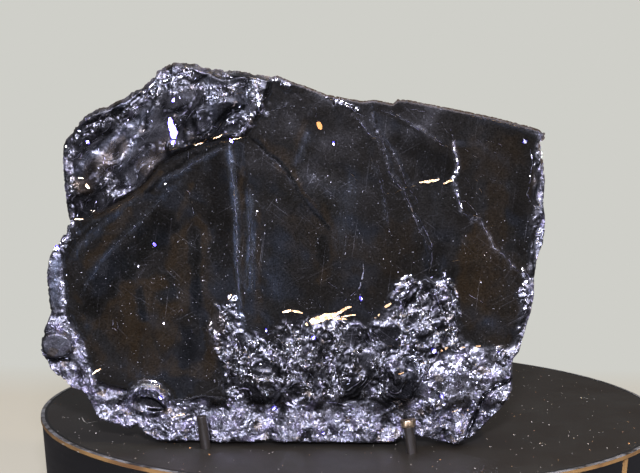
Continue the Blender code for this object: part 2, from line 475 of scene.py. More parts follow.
# The outline and every mark on the plate are laid out as they look from in front, on one upright plane. What
# really lies nearer to the eye is drawn in towards the eye's own place, so that it looks just the same.
LAYOUT_DEPTH = -49.0
EYE_ACROSS, EYE_DEPTH, EYE_UP = -10.73, -543.83, 119.26


def drawn_in(spots, depth):
    """Where spots of the layout really lie at a depth."""
    eye = np.array((EYE_ACROSS, EYE_UP))
    share = (np.asarray(depth, float) - EYE_DEPTH) / (LAYOUT_DEPTH - EYE_DEPTH)
    return eye + (np.array(spots, float) - eye) * share[..., None]


def laid_out(spots):
    """Where spots of the mirror face are in the layout."""
    eye = np.array((EYE_ACROSS, EYE_UP))
    return eye + (spots - eye) * (LAYOUT_DEPTH - EYE_DEPTH) / (MIRROR - EYE_DEPTH)


def as_line(points, closed):
    """The points as an array, which comes back to its first point where the line is closed."""
    line = np.array(points, float)
    return np.vstack((line, line[:1])) if closed else line


def resampled(points, step, closed=False):
    """Points at even steps along a line."""
    line = as_line(points, closed)
    lengths = np.concatenate(([0.0], np.cumsum(np.hypot(*np.diff(line, axis=0).T))))
    count = max(2, int(round(lengths[-1] / step)))
    places = np.linspace(0.0, lengths[-1], count + 1)
    if closed:
        places = places[:-1]
    return np.stack((np.interp(places, lengths, line[:, 0]), np.interp(places, lengths, line[:, 1])), 1)


def from_line(spots, points, closed=False):
    """For each spot: its distance to the line, the same signed (left of the line is positive), the length
    along the line of the nearest point, and the line's whole length."""
    line = as_line(points, closed)
    nearest = np.full(len(spots), 1e9)
    signed = np.zeros(len(spots))
    along = np.zeros(len(spots))
    run = 0.0
    for start, end in zip(line, line[1:]):
        step = end - start
        length = float(np.hypot(*step))
        offset = spots - start
        part = np.clip((offset @ step) / length**2, 0.0, 1.0)
        gap = offset - part[:, None] * step
        distance = np.hypot(gap[:, 0], gap[:, 1])
        closer = distance < nearest
        nearest[closer] = distance[closer]
        side = step[0] * offset[:, 1] - step[1] * offset[:, 0]
        signed[closer] = (np.sign(side) * distance)[closer]
        along[closer] = (run + part * length)[closer]
        run += length
    return nearest, signed, along, run


def inside(spots, polygon):
    """Which spots lie inside a closed polygon."""
    found = np.zeros(len(spots), bool)
    corners = np.array(polygon, float)
    for (x0, y0), (x1, y1) in zip(corners, np.roll(corners, -1, axis=0)):
        if y0 == y1:
            continue
        crosses = (y0 > spots[:, 1]) != (y1 > spots[:, 1])
        found ^= crosses & (spots[:, 0] < (x1 - x0) * (spots[:, 1] - y0) / (y1 - y0) + x0)
    return found


def ease(low, high, value):
    """0 below low, 1 above high and smooth between. It runs the other way if high is below low."""
    part = np.clip((value - low) / (high - low), 0.0, 1.0)
    return part * part * (3.0 - 2.0 * part)


def soft_zone(spots, polygon, softness):
    """1 well inside the polygon, 0 well outside."""
    distance = from_line(spots, polygon, closed=True)[0]
    signed = np.where(inside(spots, polygon), distance, -distance)
    return ease(-softness, softness, signed)


def waves(spots, length, seed, count=14):
    """Smooth random relief between about -1 and 1, with swells about this long."""
    rng = np.random.default_rng(seed)
    total = np.zeros(len(spots))
    for _ in range(count):
        angle = rng.uniform(0.0, 2.0 * math.pi)
        pitch = 2.0 * math.pi / (length * rng.uniform(0.7, 1.5))
        start = rng.uniform(0.0, 2.0 * math.pi)
        total += np.sin((spots @ (math.cos(angle), math.sin(angle))) * pitch + start)
    return total / math.sqrt(0.5 * count) * 0.6


def swayed(spots, length, seed):
    """A smooth random shift of each spot, across and up."""
    return np.stack((waves(spots, length, seed), waves(spots, length, seed + 1)), 1)


def turned_by(spots, angle):
    """The spots in axes turned by an angle in degrees."""
    c, s = math.cos(math.radians(angle)), math.sin(math.radians(angle))
    return np.stack((spots[:, 0] * c + spots[:, 1] * s, spots[:, 1] * c - spots[:, 0] * s), 1)


def foil(spots, size, seed, stretch=1.0):
    """Relief of crumpled foil, from -1 to 1: flat facets about this size that meet in sharp creases."""
    rng = np.random.default_rng(seed)
    sway = swayed(spots, 3.5 * size, seed + 1)
    x, y = ((spots + 0.45 * size * sway) / (size, size * stretch)).T
    skewed = np.stack((x - y / math.sqrt(3.0), y * 2.0 / math.sqrt(3.0)), 1)
    cell = np.floor(skewed).astype(int)
    s, t = (skewed - cell).T
    i, j = (cell - cell.min(axis=0)).T
    table = rng.uniform(-1.0, 1.0, (i.max() + 2, j.max() + 2))
    near = table[i, j] * (1.0 - s - t) + table[i + 1, j] * s + table[i, j + 1] * t
    far = table[i + 1, j + 1] * (s + t - 1.0) + table[i + 1, j] * (1.0 - t) + table[i, j + 1] * (1.0 - s)
    return np.where(s + t < 1.0, near, far)


TOP_EDGE = MIRROR
FOOT_EDGE = -50.0


def top_share(spots):
    """1 along the plate's top edge, which drops towards the right, and 0 from a little way below it."""
    across, up = np.array(spots, float).T
    return ease(84.0, 94.0, up + 9.0 * ease(0.0, 30.0, across))


def edge_depth(spots):
    """How deep the front's edge lies: well forward along the top, and set back under the foot."""
    up = np.array(spots, float)[:, 1]
    depth = FRONT_SHOULDER + (FOOT_EDGE - FRONT_SHOULDER) * ease(12.0, 4.0, up)
    return depth + (TOP_EDGE - depth) * top_share(spots)


OUTLINE = drawn_in(PLATE_OUTLINE, edge_depth(PLATE_OUTLINE))


def leaf_steps(level, sharpness=5.0):
    """Each whole number of the level is a leaf's edge: flat on top, then a steep rise to the next leaf."""
    whole = np.floor(level)
    return whole + (level - whole) ** sharpness


# The crumpled foot reaches up in a torn cluster right of the middle and runs up both sides as a rim.
CRUMPLED_FOOT = (
    (-96, 57), (-86.8, 57), (-86, 47), (-85.4, 42), (-85.8, 38.6), (-82.9, 34.3), (-80.4, 29.6),
    (-79.2, 25.3), (-78, 20.6), (-76.3, 17.6), (-72.6, 16), (-67.6, 15), (-65, 16), (-60.4, 16.1),
    (-55.8, 15), (-54.3, 12), (-48, 12), (-43, 13), (-39.5, 14.3), (-40.4, 19.2), (-42, 25.5), (-43.7, 33),
    (-40.4, 41), (-36.7, 42.3), (-33.2, 38.8), (-30.4, 33.8), (-25.8, 33), (-21.6, 37.2), (-6.5, 39),
    (-3, 40.3), (2.5, 37), (6, 38), (9.5, 43), (11.3, 46), (13.3, 48.3), (16.3, 49.3), (20.5, 50), (28.8, 50),
    (31.2, 42), (31, 33), (36, 29), (42, 29), (46, 31), (47.5, 40), (49.5, 50), (51, 60), (51.5, 93),
    (60, 93), (60, -6), (-96, -6),
)
# The upper left is a pile of thin folded leaves, raised above the mirror face along a wandering step.
FOLIATED_CORNER = (
    (-92, 64), (-84, 66), (-80.7, 66.5), (-75.8, 67.4), (-70.4, 71), (-66.3, 73.3), (-62, 77), (-58, 82),
    (-54, 84.5), (-49.7, 86.5), (-45.6, 88.7), (-40.2, 89.5), (-33, 90.5), (-29, 97), (-26, 104), (-24, 116),
    (-92, 116),
)
# Lines that several marks follow: a fold is also stained, bluish or edged with silver.
UPRIGHT_FOLD = (
    (-36.7, 90), (-37.5, 86.7), (-37.3, 83.5), (-36, 75.7), (-35.3, 66.6), (-35, 53.4), (-34.6, 46.8),
)
BEADED_STEP = (
    (27.6, 90.6), (28.3, 90), (28.1, 86.9), (29.1, 84.4), (29.5, 81.7), (28, 78.9), (28.6, 76.1),
    (29.7, 72.6), (30.8, 69.1), (33.6, 66.7), (36.1, 66.7), (37.9, 63.6), (39.3, 60.8), (40.1, 58.7),
    (44.3, 55.2), (47.9, 51),
)
SLANTING_FOLD = (
    (-31.8, 90.3), (-28.9, 88.4), (-26, 85.5), (-22.1, 82.9), (-18.2, 76.5), (-12.9, 68.7), (-8.3, 64.1),
)
LIGHT_STREAK = ((-14.1, 93.4), (-15.6, 88.2), (-16.9, 84.3), (-18.8, 80.7))
CORNER_RIDGE = ((-60, 73.5), (-56.8, 77.6), (-51.7, 79.9), (-47.4, 82.8), (-43, 85.1), (-38.6, 87.3))
FAN_FOLD = ((5.4, 99.1), (10.9, 96.8), (17.2, 93.4), (22.1, 90.6), (27, 87.5))
LOWER_FAN_FOLD = ((9.5, 98.5), (15.1, 94.7), (20, 91.3), (25.6, 87.9))
BESIDE_DOUBLE_FOLD = ((3.8, 85.1), (6.5, 78.6), (7.9, 72.1), (9.6, 61.7))
CORNER_LEAF = ((-72.8, 95.7), (-68.4, 99.4), (-64, 102.3))
OUTER_CORNER_LEAF = ((-82.3, 91.3), (-77.9, 95.7), (-73.5, 97.9))
# Folds stand up as low ridges. Each has its height, half width, brightness and beading, then its line.
FOLDS = (
    # the long upright double fold, left of the middle
    (0.09, 0.55, 0.05, 0.1, (*UPRIGHT_FOLD, (-33.3, 37.6))),
    (0.07, 0.70, 0.03, 0.1, ((-31.6, 78), (-31.1, 67.2), (-31.1, 60), (-31.2, 53.5), (-31.4, 44))),
    # the dark slanting fold and the light streak that joins it
    (-0.06, 0.40, 0.0, 0.1, SLANTING_FOLD),
    (0.05, 0.90, 0.03, 0.3, LIGHT_STREAK),
    # the bright double fold right of the middle
    (0.07, 0.60, 0.06, 0.6, ((4, 100.2), (4.4, 96.7), (5.1, 93.3), (7.6, 88.4), (8.7, 84.3), (9.4, 80.8),
        (13.6, 75.3), (16.5, 68.3), (20.5, 59.9), (22.3, 57.1), (22, 52.9), (21.3, 50.7))),
    (0.05, 0.50, 0.04, 0.6, ((6.1, 91.5), (10.4, 86.4), (13.2, 80.1), (16.1, 74.6), (17.9, 69.7),
        (17.2, 68.3))),
    (0.04, 0.50, 0.04, 0.5, ((-0.1, 96.7), (3.4, 91.5), (5.8, 89.5), (8.3, 82.9), (11.9, 76.6))),
    # bluish ridges under the foliated corner's step
    (0.10, 0.8, 0.03, 0.1, CORNER_RIDGE),
    (0.08, 1.0, 0.03, 0.1, ((-84, 54), (-79.6, 59.8), (-73.7, 65.2), (-67.8, 70.2))),
    # folds that fan out at the top right
    (0.015, 0.5, 0.02, 0.6, FAN_FOLD),
    (0.015, 0.5, 0.02, 0.6, LOWER_FAN_FOLD),
)
# Steps: the side left of the line stands higher by the first number. Then come the half width, the reach
# over which the step falls away again, its brightness, its beading and its line.
STEPS = (
    # the beaded edge at the right, down to its shelf and on to the right rim
    (0.14, 0.40, 9.0, 0.22, 0.8, BEADED_STEP),
    # the foliated corner's own edge
    (-0.35, 0.7, 16.0, 0.05, 0.4, FOLIATED_CORNER[12:0:-1]),
)
RIDGE_TAPER = 3.5  # a fold fades in and out over this length
SHEEN_TAPER = 5.0
# Torn leaf edges that catch the light in chains of beads: brightness, half width and line.
BEADED_EDGES = (
    # upright chains at the cluster's left
    (0.8, 0.7, ((-41, 40), (-39, 37), (-38, 34), (-36, 31), (-35, 26), (-34, 22), (-33, 19))),
    (0.7, 0.9, ((-37, 43), (-36, 39), (-34, 37))),
    (0.8, 0.9, ((-43, 34), (-43, 32), (-41, 30), (-40, 26), (-38, 25), (-38, 20))),
    (0.9, 0.6, ((-32, 30), (-32, 22))),
    (0.7, 0.7, ((-31, 29), (-28, 30), (-26, 28), (-24, 25), (-22, 27), (-20, 28))),
    (1.0, 0.5, ((-19, 34), (-18, 30), (-17, 26))),
    (0.8, 0.6, ((-20, 25), (-18, 22), (-16, 19), (-14, 16))),
    # across its middle
    (0.7, 0.8, ((-15, 23), (-11, 23), (-8, 25), (-6, 29), (-5, 31), (-5, 37))),
    (0.9, 0.9, ((-7, 22), (-6, 18), (-6, 13))),
    (0.9, 1.2, ((-16, 13), (-13, 13), (-10, 13))),
    (0.6, 0.6, ((-31, 19), (-28, 18), (-24, 19), (-20, 19), (-17, 18))),
    (0.9, 1.1, ((-38, 14), (-36, 15), (-37, 11), (-36, 9))),
    (1.0, 1.0, ((-27, 9), (-24, 10))),
    (0.6, 0.6, ((7, 21), (8, 26), (6, 22))),
    # the loops and columns at its right
    (0.8, 0.7, ((11, 43), (12, 47), (14, 48), (16, 49), (18, 48))),
    (0.8, 0.8, ((12, 47), (11, 45), (12, 43), (14, 39), (14, 35), (14, 31), (14, 27))),
    (0.9, 0.7, ((19, 48), (19, 43), (19, 39), (21, 36), (22, 35), (24, 32), (23, 29))),
    (0.9, 0.6, ((26, 50), (28, 48), (29, 45), (30, 39))),
    (0.9, 0.7, ((25, 46), (27, 42), (28, 38), (29, 34), (30, 31), (28, 29))),
    (0.6, 0.6, ((14, 29), (16, 30), (18, 29), (21, 30))),
    (1.0, 1.1, ((20, 25), (21, 21), (21, 19), (23, 17), (25, 15), (27, 14))),
    (1.0, 1.3, ((22, 29), (24, 30))),
    (1.0, 1.0, ((33, 25), (36, 23), (37, 22))),
    (0.9, 0.8, ((36, 19), (39, 16), (42, 18), (44, 19), (45, 22))),
    (1.0, 1.3, ((42, 28), (44, 25), (45, 22), (44, 20))),
    (0.8, 0.7, ((35, 8), (37, 11), (38, 14), (40, 16))),
    (0.8, 0.8, ((20, 11), (21, 8), (24, 8))),
    (1.0, 1.0, ((49, 52), (50, 50), (50, 46), (49, 44), (51, 44), (50, 41))),
    # the left rim's bright cap
    (0.9, 1.2, ((-89, 55.5), (-87.5, 57), (-86, 59))),
    # along the top edge, right of the corner
    (0.5, 0.6, ((-8.4, 101.6), (-5.4, 100.4), (-2, 98.8), (0.5, 97.4))),
    # the foliated corner
    (0.8, 1.0, ((-61, 103), (-59, 104), (-57, 106), (-54, 107), (-52, 108), (-49, 109))),
    (0.35, 0.8, ((-84, 84), (-82, 90), (-78, 92), (-74, 94), (-69, 96), (-65, 99))),
    (0.7, 0.8, ((-85, 84), (-84, 80), (-83, 74))),
    (0.35, 0.7, ((-74, 77), (-72, 78), (-71, 76), (-72, 73))),
    (0.12, 0.6, ((-84, 77), (-80, 81), (-77, 84), (-73, 88), (-70, 91), (-66, 97), (-62, 99), (-58, 100))),
    (0.15, 0.6, ((-72, 79), (-70, 81), (-68, 85), (-66, 88), (-62, 94))),
    (0.35, 0.6, ((-55, 103), (-52, 104), (-49, 105), (-45, 105), (-41, 105), (-39, 104), (-35, 105))),
    (0.10, 0.4, ((-45, 101), (-40, 102), (-35, 103), (-32, 103))),
    (0.8, 0.9, ((-30, 106), (-30, 103), (-28, 101), (-28, 97), (-32, 95), (-33, 92), (-36, 90))),
    (0.15, 0.5, ((-27, 100), (-23, 100), (-19, 100), (-12, 98))),
    (0.12, 0.5, ((-46, 100), (-45, 97), (-45, 92))),
    (0.12, 0.6, ((-53, 88), (-50, 91), (-47, 93))),
)


# Bands of painted bluish sheen on the mirror: strength, half width and line.
PAINTED_SHEEN_BANDS = (
    (1.0, 0.80, (*UPRIGHT_FOLD, (-33.3, 32))),
    (0.7, 0.60, ((-36.6, 88), (-36.2, 82), (-35.6, 75))),
    (1.0, 1.30, ((-31.6, 76), (-31.1, 67.2), (-31.1, 60), (-31.2, 53.5), (-31.4, 42))),
    (0.6, 0.6, CORNER_RIDGE),
    (0.5, 0.9, ((-85.3, 52.4), (-79.6, 59.8), (-73.7, 65.2), (-67.8, 70.2), (-62, 73))),
    (0.6, 0.45, ((-81.8, 42), (-75.3, 53.3), (-69.4, 59.9), (-63.5, 65.2), (-54.7, 74.7), (-48, 80))),
    (0.4, 0.5, ((-84, 60), (-78, 65), (-72, 67))),
    (0.55, 1.1, LIGHT_STREAK),
    (0.4, 0.4, BESIDE_DOUBLE_FOLD),
    (1.0, 1.5, ((-88, 38), (-88.5, 49), (-87.5, 57))),
    (0.42, 2.6, ((0, 81.8), (-2.5, 73.3), (-3.8, 66.8), (-5, 60.2), (-3.7, 54))),
    (0.28, 2.0, ((-27.8, 58.7), (-25.8, 53.5), (-23.2, 45), (-21.9, 40))),
    (0.22, 3.0, ((-80, 40), (-77, 31), (-72, 24), (-64, 19.5), (-55, 17))),
    (0.18, 4.0, ((-50, 16), (-44, 14))),
    (0.28, 1.3, ((-84.6, 76.7), (-78.7, 83.3), (-73.6, 87.7), (-67.7, 92.1), (-61.9, 96.5), (-57.5, 98.4))),
    (0.40, 0.6, CORNER_LEAF),
    (0.35, 0.6, OUTER_CORNER_LEAF),
    (0.30, 1.2, ((-72, 78), (-67, 86), (-62, 92))),
    (0.22, 2.5, ((24, 84), (23, 74), (25, 62))),
    (0.22, 1.3, ((33, 91), (37, 87), (43, 84.5), (46, 80))),
    (0.18, 1.1, ((35, 84), (39, 79), (44, 77), (47, 73))),
    (0.30, 0.9, ((31, 45), (35, 43.5), (39, 42))),
    (0.30, 1.6, ((36, 38), (40, 36), (44, 34.5))),
)


def hump(distance, width):
    """1 on a line, falling away smoothly to both sides."""
    return np.exp(-((distance / width) ** 2))


def tapered(along, whole, reach):
    """1 along most of a line, fading out over a reach at both ends."""
    return ease(0.0, reach, along) * ease(0.0, reach, whole - along)


def painted_blue_sheen(spots):
    """How much painted bluish sheen the mirror has at each spot."""
    sheen = np.zeros(len(spots))
    wander = swayed(spots, 9.0, 34)
    for strength, width, line in PAINTED_SHEEN_BANDS:
        distance, _, along, whole = from_line(spots + 0.12 * (1.0 + width) * wander, line)
        fade = tapered(along, whole, SHEEN_TAPER)
        sheen = np.maximum(sheen, strength * fade * hump(distance, width))
    return sheen


def beading(along, amount, seed):
    """A brightness and height that comes and goes along a fold."""
    rng = np.random.default_rng(seed)
    wave = sum(np.sin(along * rng.uniform(0.9, 4.5) + rng.uniform(0.0, 6.3)) for _ in range(6)) / 3.0
    return 1.0 + amount * np.clip(wave, -1.0, 1.0)


def lay_folds(spots):
    """The folds', steps' and beaded edges' relief, how bright they are, and how near a beaded edge is."""
    relief = np.zeros(len(spots))
    bright = np.zeros(len(spots))
    halo = np.zeros(len(spots))
    wander = swayed(spots, 5.0, 38)
    for number, (height, width, shine, bead, line) in enumerate(FOLDS):
        distance, _, along, whole = from_line(spots + 0.12 * wander, line)
        fade = tapered(along, whole, RIDGE_TAPER)
        form = beading(along, bead, 40 + number)
        relief += height * form * fade * hump(distance, width)
        lit = shine * np.clip(form, 0.0, 2.0) * fade * hump(distance, 0.8 * width)
        bright = np.maximum(bright, lit)
    for number, (height, width, reach, shine, bead, line) in enumerate(STEPS):
        distance, signed, along, whole = from_line(spots + 0.3 * wander, line)
        fade = tapered(along, whole, RIDGE_TAPER)
        form = beading(along, bead, 80 + number)
        fall = hump(np.clip(signed, 0.0, None), reach)
        relief += height * fade * ease(-width, width, signed + 0.3 * (form - 1.0)) * fall
        lit = shine * np.clip(form, 0.0, 2.0) * fade * hump(distance, 1.5 * width)
        bright = np.maximum(bright, lit)
    grain = np.random.default_rng(37).uniform(0.0, 1.0, len(spots))
    beads = 0.25 + 0.95 * ease(-0.1, 0.6, waves(spots, 1.7, 36))
    for number, (shine, width, line) in enumerate(BEADED_EDGES):
        distance, _, along, _ = from_line(spots + 0.9 * wander, line)
        form = beading(along, 0.9, 100 + number)
        near = hump(distance, 0.75 * width * (0.6 + 0.4 * form))
        halo = np.maximum(halo, (0.4 + 0.6 * shine) * hump(distance, 1.3 + width))
        relief += 0.30 * shine * form * near
        lit = shine * near * np.clip(0.35 + 0.65 * form, 0.0, 1.3) * (0.45 + 0.75 * grain)
        bright = np.maximum(bright, lit * beads)
    return relief, bright, halo


FINE_STEP = 0.36
MIDDLE_STEP = 0.52
COARSE_STEP = 0.95
BACK_STEP = 1.25
FRONT_MARGIN = 0.35  # the least distance of a mesh point inside the outline from it
BACK_MARGIN = 0.8
RIM_STEP = 0.45
RIM_RINGS = 11
TOP_LEAN = 0.17  # the top falls away towards the back at this slope
# Knobs on the lower left: a loop of folded leaf round a dark hollow, and a satin boss on the very edge.
LOOP_MIDDLE, LOOP_SIZE = (-61.7, 12.3), (6.0, 4.4)
HOLLOW_MIDDLE, HOLLOW_SIZE, HOLLOW_DEPTH = (-60.4, 10.8), (4.0, 1.7), -1.4
BOSS_MIDDLE, BOSS_SIZE = (-88.0, 28.6), (4.6, 3.9)
BOSS_CRACK = ((-92, 24.2), (-89, 23.6), (-87, 24.4), (-85, 24.0))
# On the left rim a smooth leaf shows between the torn ones.
SMOOTH_STRIP = ((-88.5, 39), (-88.6, 45), (-88.8, 50), (-88.2, 54))
# A thin outer leaf at the lower right is split from the plate along this crack.
LEAF_CRACK = ((46, 19.5), (44, 18.4), (41.5, 17.2), (38.5, 14.7), (37.2, 11.5), (36, 7.4), (34, 3), (33.5, 1))
CRACK_DEPTH = 1.8
# The soft silver leaf at the lower right fills an oval.
SILVER_LEAF_MIDDLE, SILVER_LEAF_SIZE = (33.0, 13.0), (13.0, 15.0)
FOOT_SETBACK = 1.3  # the foot's lowest part lies this much further back than the mirror
PIN_ROOM = 1.75  # from a front pin's axis to the stone
PIN_REACH = 9.0  # a front pin stands in front of the plate up to this height
LEAST_GAP = 0.05  # between the foremost leaves and the front of the plate's box


def oval_reach(points, middle, size):
    """Distance from a middle, counted in an ellipse's own size."""
    return np.hypot((points[:, 0] - middle[0]) / size[0], (points[:, 1] - middle[1]) / size[1])


def rounded(part):
    """A rounded shoulder: a steep rise from 0 that has levelled off where the part reaches 1."""
    return 1.0 - (1.0 - np.clip(part, 0.0, 1.0)) ** 2.3


def front_zones(spots, edge):
    """How far each spot belongs to the crumpled foot, to the dark cluster above it, to the soft silver leaf
    at the lower right, to the foliated corner and to the torn rim."""
    across, up = spots.T
    crumple = soft_zone(spots, CRUMPLED_FOOT, 1.0)
    wander = waves(spots, 12.0, 12)
    low = ease(13.0, 7.5, up + 3.0 * wander)
    left = ease(-41.0, -46.0, across)
    foot = crumple * np.maximum(low, left)
    leaf = crumple * ease(1.15, 0.85, oval_reach(spots, SILVER_LEAF_MIDDLE, SILVER_LEAF_SIZE))
    inner = ease(-0.5, 4.0, from_line(spots, CRUMPLED_FOOT, closed=True)[0] + 1.6 * waves(spots, 6.0, 11))
    cluster = crumple * (1.0 - foot) * (1.0 - 0.8 * leaf) * (0.25 + 0.75 * inner)
    corner = soft_zone(spots, FOLIATED_CORNER, 0.8)
    thin_top = top_share(spots) * ease(-24.0, -14.0, across)
    right = ease(40.0, 46.0, across)
    rim = ease(2.8, 0.6, edge + 0.9 * wander) * (1.0 - 0.97 * thin_top)
    rim = np.maximum(rim, right * ease(2.5, 1.0, edge + 0.9 * wander) * (1.0 - 0.8 * thin_top))
    return crumple, foot, cluster, leaf, corner, rim


def named_fields(silver, level, edges, cool, leafy, dull, satin, sparkle):
    """The fields that the material reads: how silver, which leaf, how bright its edges, how much painted
    bluish sheen, how many loose leaves, how brown, how satin and how lively."""
    fields = {"silver": silver, "level": level, "edges": edges, "cool": cool, "leafy": leafy, "dull": dull}
    return {**fields, "satin": satin, "sparkle": sparkle}


def front_surface(spots):
    """For spots across the front: how far forward the surface stands, in millimetres, and the fields that
    the material reads."""
    places = spots
    edge = from_line(places, OUTLINE, closed=True)[0]
    edge_forward = FRONT_SHOULDER - edge_depth(places)
    spots = laid_out(places)
    across, up = spots.T
    crumple, foot, cluster, leaf, corner, rim = front_zones(spots, edge)
    thin_top = ease(0.2, 0.9, top_share(places)) * ease(-32.0, -18.0, across)
    shoulder = 0.7 - 0.4 * thin_top + 0.7 * ease(12.0, 4.0, up)
    rise = rounded(edge / shoulder)
    rng = np.random.default_rng(24)
    chance = rng.random(len(spots))

    # crumpled foil, from broad folds down to the smallest facets
    broad = 1.5 * foil(spots, 8.0, 201, 1.3)
    folded = 0.48 * foil(spots, 3.6, 204, 1.2)
    small = 0.29 * foil(spots, 1.7, 207)
    fine = 0.17 * foil(spots, 0.85, 210) + rng.normal(0.0, 0.03, len(spots))

    # the cluster's leaves hang in pockets, those of the corner sweep up to the right
    sway = swayed(spots, 9.0, 13)
    pockets = 1.5 * waves((spots + 1.4 * sway) * (1.0, 0.75), 13.0, 15)
    swept = turned_by(spots + 1.2 * sway, 40.0)
    sweeps = 1.6 * waves(swept * (0.35, 1.0), 13.0, 16)
    level = np.where(corner > crumple, sweeps, pockets)
    pocket_relief = 0.4 + 0.35 * leaf_steps(pockets) + 0.14 * broad
    glassy = ease(0.05, 0.35, waves(spots + 0.8 * sway, 8.5, 18))
    corner_relief = 0.30 * leaf_steps(sweeps) + 0.13 * waves(swept * (0.4, 1.0), 13.0, 17)
    corner_relief += 0.06 * foil(swept * (0.5, 1.0), 3.8, 213) + 0.035 * (up - 85.0)
    deep = ease(0.0, 5.0, from_line(spots, CRUMPLED_FOOT, closed=True)[0])

    relief = waves(spots, 46.0, 1) * 0.36 + waves(spots, 17.0, 2) * 0.10 + waves(spots, 7.0, 3) * 0.018
    smooth_leaf = ease(2.4, 1.2, from_line(spots, SMOOTH_STRIP)[0])
    relief += np.maximum(foot, rim) * (1.0 - 0.8 * smooth_leaf) * (0.75 * broad + folded + small + fine)
    relief += cluster * deep * pocket_relief
    relief += cluster * (1.0 - 0.9 * glassy) * (0.20 * folded + 0.35 * small + 0.8 * fine)
    relief += leaf * (0.40 * broad + 0.25 * folded + 0.18 * small + 0.3 * fine)
    relief += corner * (0.8 + corner_relief)
    folds, bright, halo = lay_folds(spots)
    relief += folds * (1.0 - 0.4 * foot)

    loop = oval_reach(spots, LOOP_MIDDLE, LOOP_SIZE)
    ring = hump(loop - 0.85, 0.25)
    hollow = oval_reach(turned_by(spots - HOLLOW_MIDDLE, -18.0), (0.0, 0.0), HOLLOW_SIZE)
    relief += ring * (1.5 + 0.6 * folded + 0.5 * small)
    boss = oval_reach(spots, BOSS_MIDDLE, BOSS_SIZE)
    on_boss = ease(1.12, 0.92, boss)
    relief += on_boss * (2.1 + 0.05 * (up - BOSS_MIDDLE[1]) + 0.03 * folded - relief)
    crack = np.minimum(from_line(spots, LEAF_CRACK)[0], from_line(spots, BOSS_CRACK)[0])
    relief -= CRACK_DEPTH * hump(crack, 0.5)
    relief -= FOOT_SETBACK * ease(14.0, 8.0, up) * crumple
    relief += (HOLLOW_DEPTH - relief) * ease(1.25, 0.7, hollow)

    forward = edge_forward + (FRONT_SHOULDER - MIRROR - edge_forward) * rise
    forward += relief * np.maximum(ease(0.0, 1.4, edge), thin_top)
    forward = np.minimum(forward, FRONT_SHOULDER - FACE - LEAST_GAP)
    for x, y, _, lean, _ in list(PIN_PLACES.values())[:2]:
        top_across = x / MM + math.tan(lean) * PIN_REACH
        beside = from_line(places, ((x / MM, -2.0), (top_across, PIN_REACH)))[0]
        room = FRONT_SHOULDER - (y / MM + PIN_ROOM)
        forward = np.minimum(forward, room + 2.5 * np.clip(beside - PIN_ROOM, 0.0, None))

    clouds = 0.5 + 0.5 * waves(spots, 6.0, 19)
    silver = foot * np.clip(0.22 + 0.52 * clouds + 0.45 * (chance - 0.5), 0.0, 1.0)
    ragged = np.clip(0.06 + 0.30 * ease(0.0, 40.0, across) + 0.5 * clouds + 0.5 * (chance - 0.5), 0.0, 1.0)
    silver = np.maximum(silver, rim * ragged)
    silver = np.maximum(silver, leaf * np.clip(0.22 + 0.3 * clouds + 0.3 * (chance - 0.5), 0.0, 1.0))
    grains = ease(0.55, 0.95, clouds) * ease(0.72, 0.95, chance)
    silver = np.maximum(silver, cluster * (1.0 - 0.95 * glassy) * (0.01 + 0.11 * clouds**2 + 0.45 * grains))
    silver = np.maximum(silver, corner * (0.01 * clouds + 0.35 * grains * ease(0.9, 0.99, chance)))
    silver = np.maximum(silver, bright)
    silver = np.maximum(silver, ring * np.clip(0.35 + 0.5 * clouds + 0.6 * (chance - 0.4), 0.0, 1.0))
    silver += on_boss * (0.25 - silver)
    silver *= 1.0 - ease(1.4, 1.0, hollow)
    silver *= 1.0 - 0.72 * smooth_leaf
    silver *= 1.0 - 0.9 * hump(crack, 0.7)
    edges = np.maximum(np.maximum(cluster, 0.7 * leaf), 0.45 * corner)
    edges *= ease(0.25, 0.75, 0.5 + 0.5 * waves(spots, 7.0, 20))
    cool = painted_blue_sheen(spots)
    leafy = ease(0.5, 1.2, edge) * ease(0.25, 0.9, silver) * (1.0 - corner) * (1.0 - on_boss)
    leafy *= 1.0 - 0.8 * cluster
    satin = np.max((0.95 * cluster, 0.95 * corner, 0.8 * foot), axis=0)
    streaks = 0.5 + 0.5 * waves(swept * (0.4, 1.0), 6.0, 214)
    flecks = 0.5 + 0.5 * waves(spots, 5.0, 215)
    lively = corner * np.maximum(0.88 * halo, 0.43 * streaks)
    pockets_lit = (1.0 - 0.7 * glassy) * (0.3 + 0.42 * deep) * flecks
    lively = np.maximum(lively, cluster * np.maximum(halo, pockets_lit))
    sparkle = ease(0.36, 0.56, lively + 0.25 * (chance - 0.5) * lively)
    dull = top_share(places) * ease(0.95, 0.5, edge) * (0.6 + 0.4 * ease(-30.0, -20.0, across))
    return forward, named_fields(silver, level, edges, cool, leafy, dull, satin, sparkle)


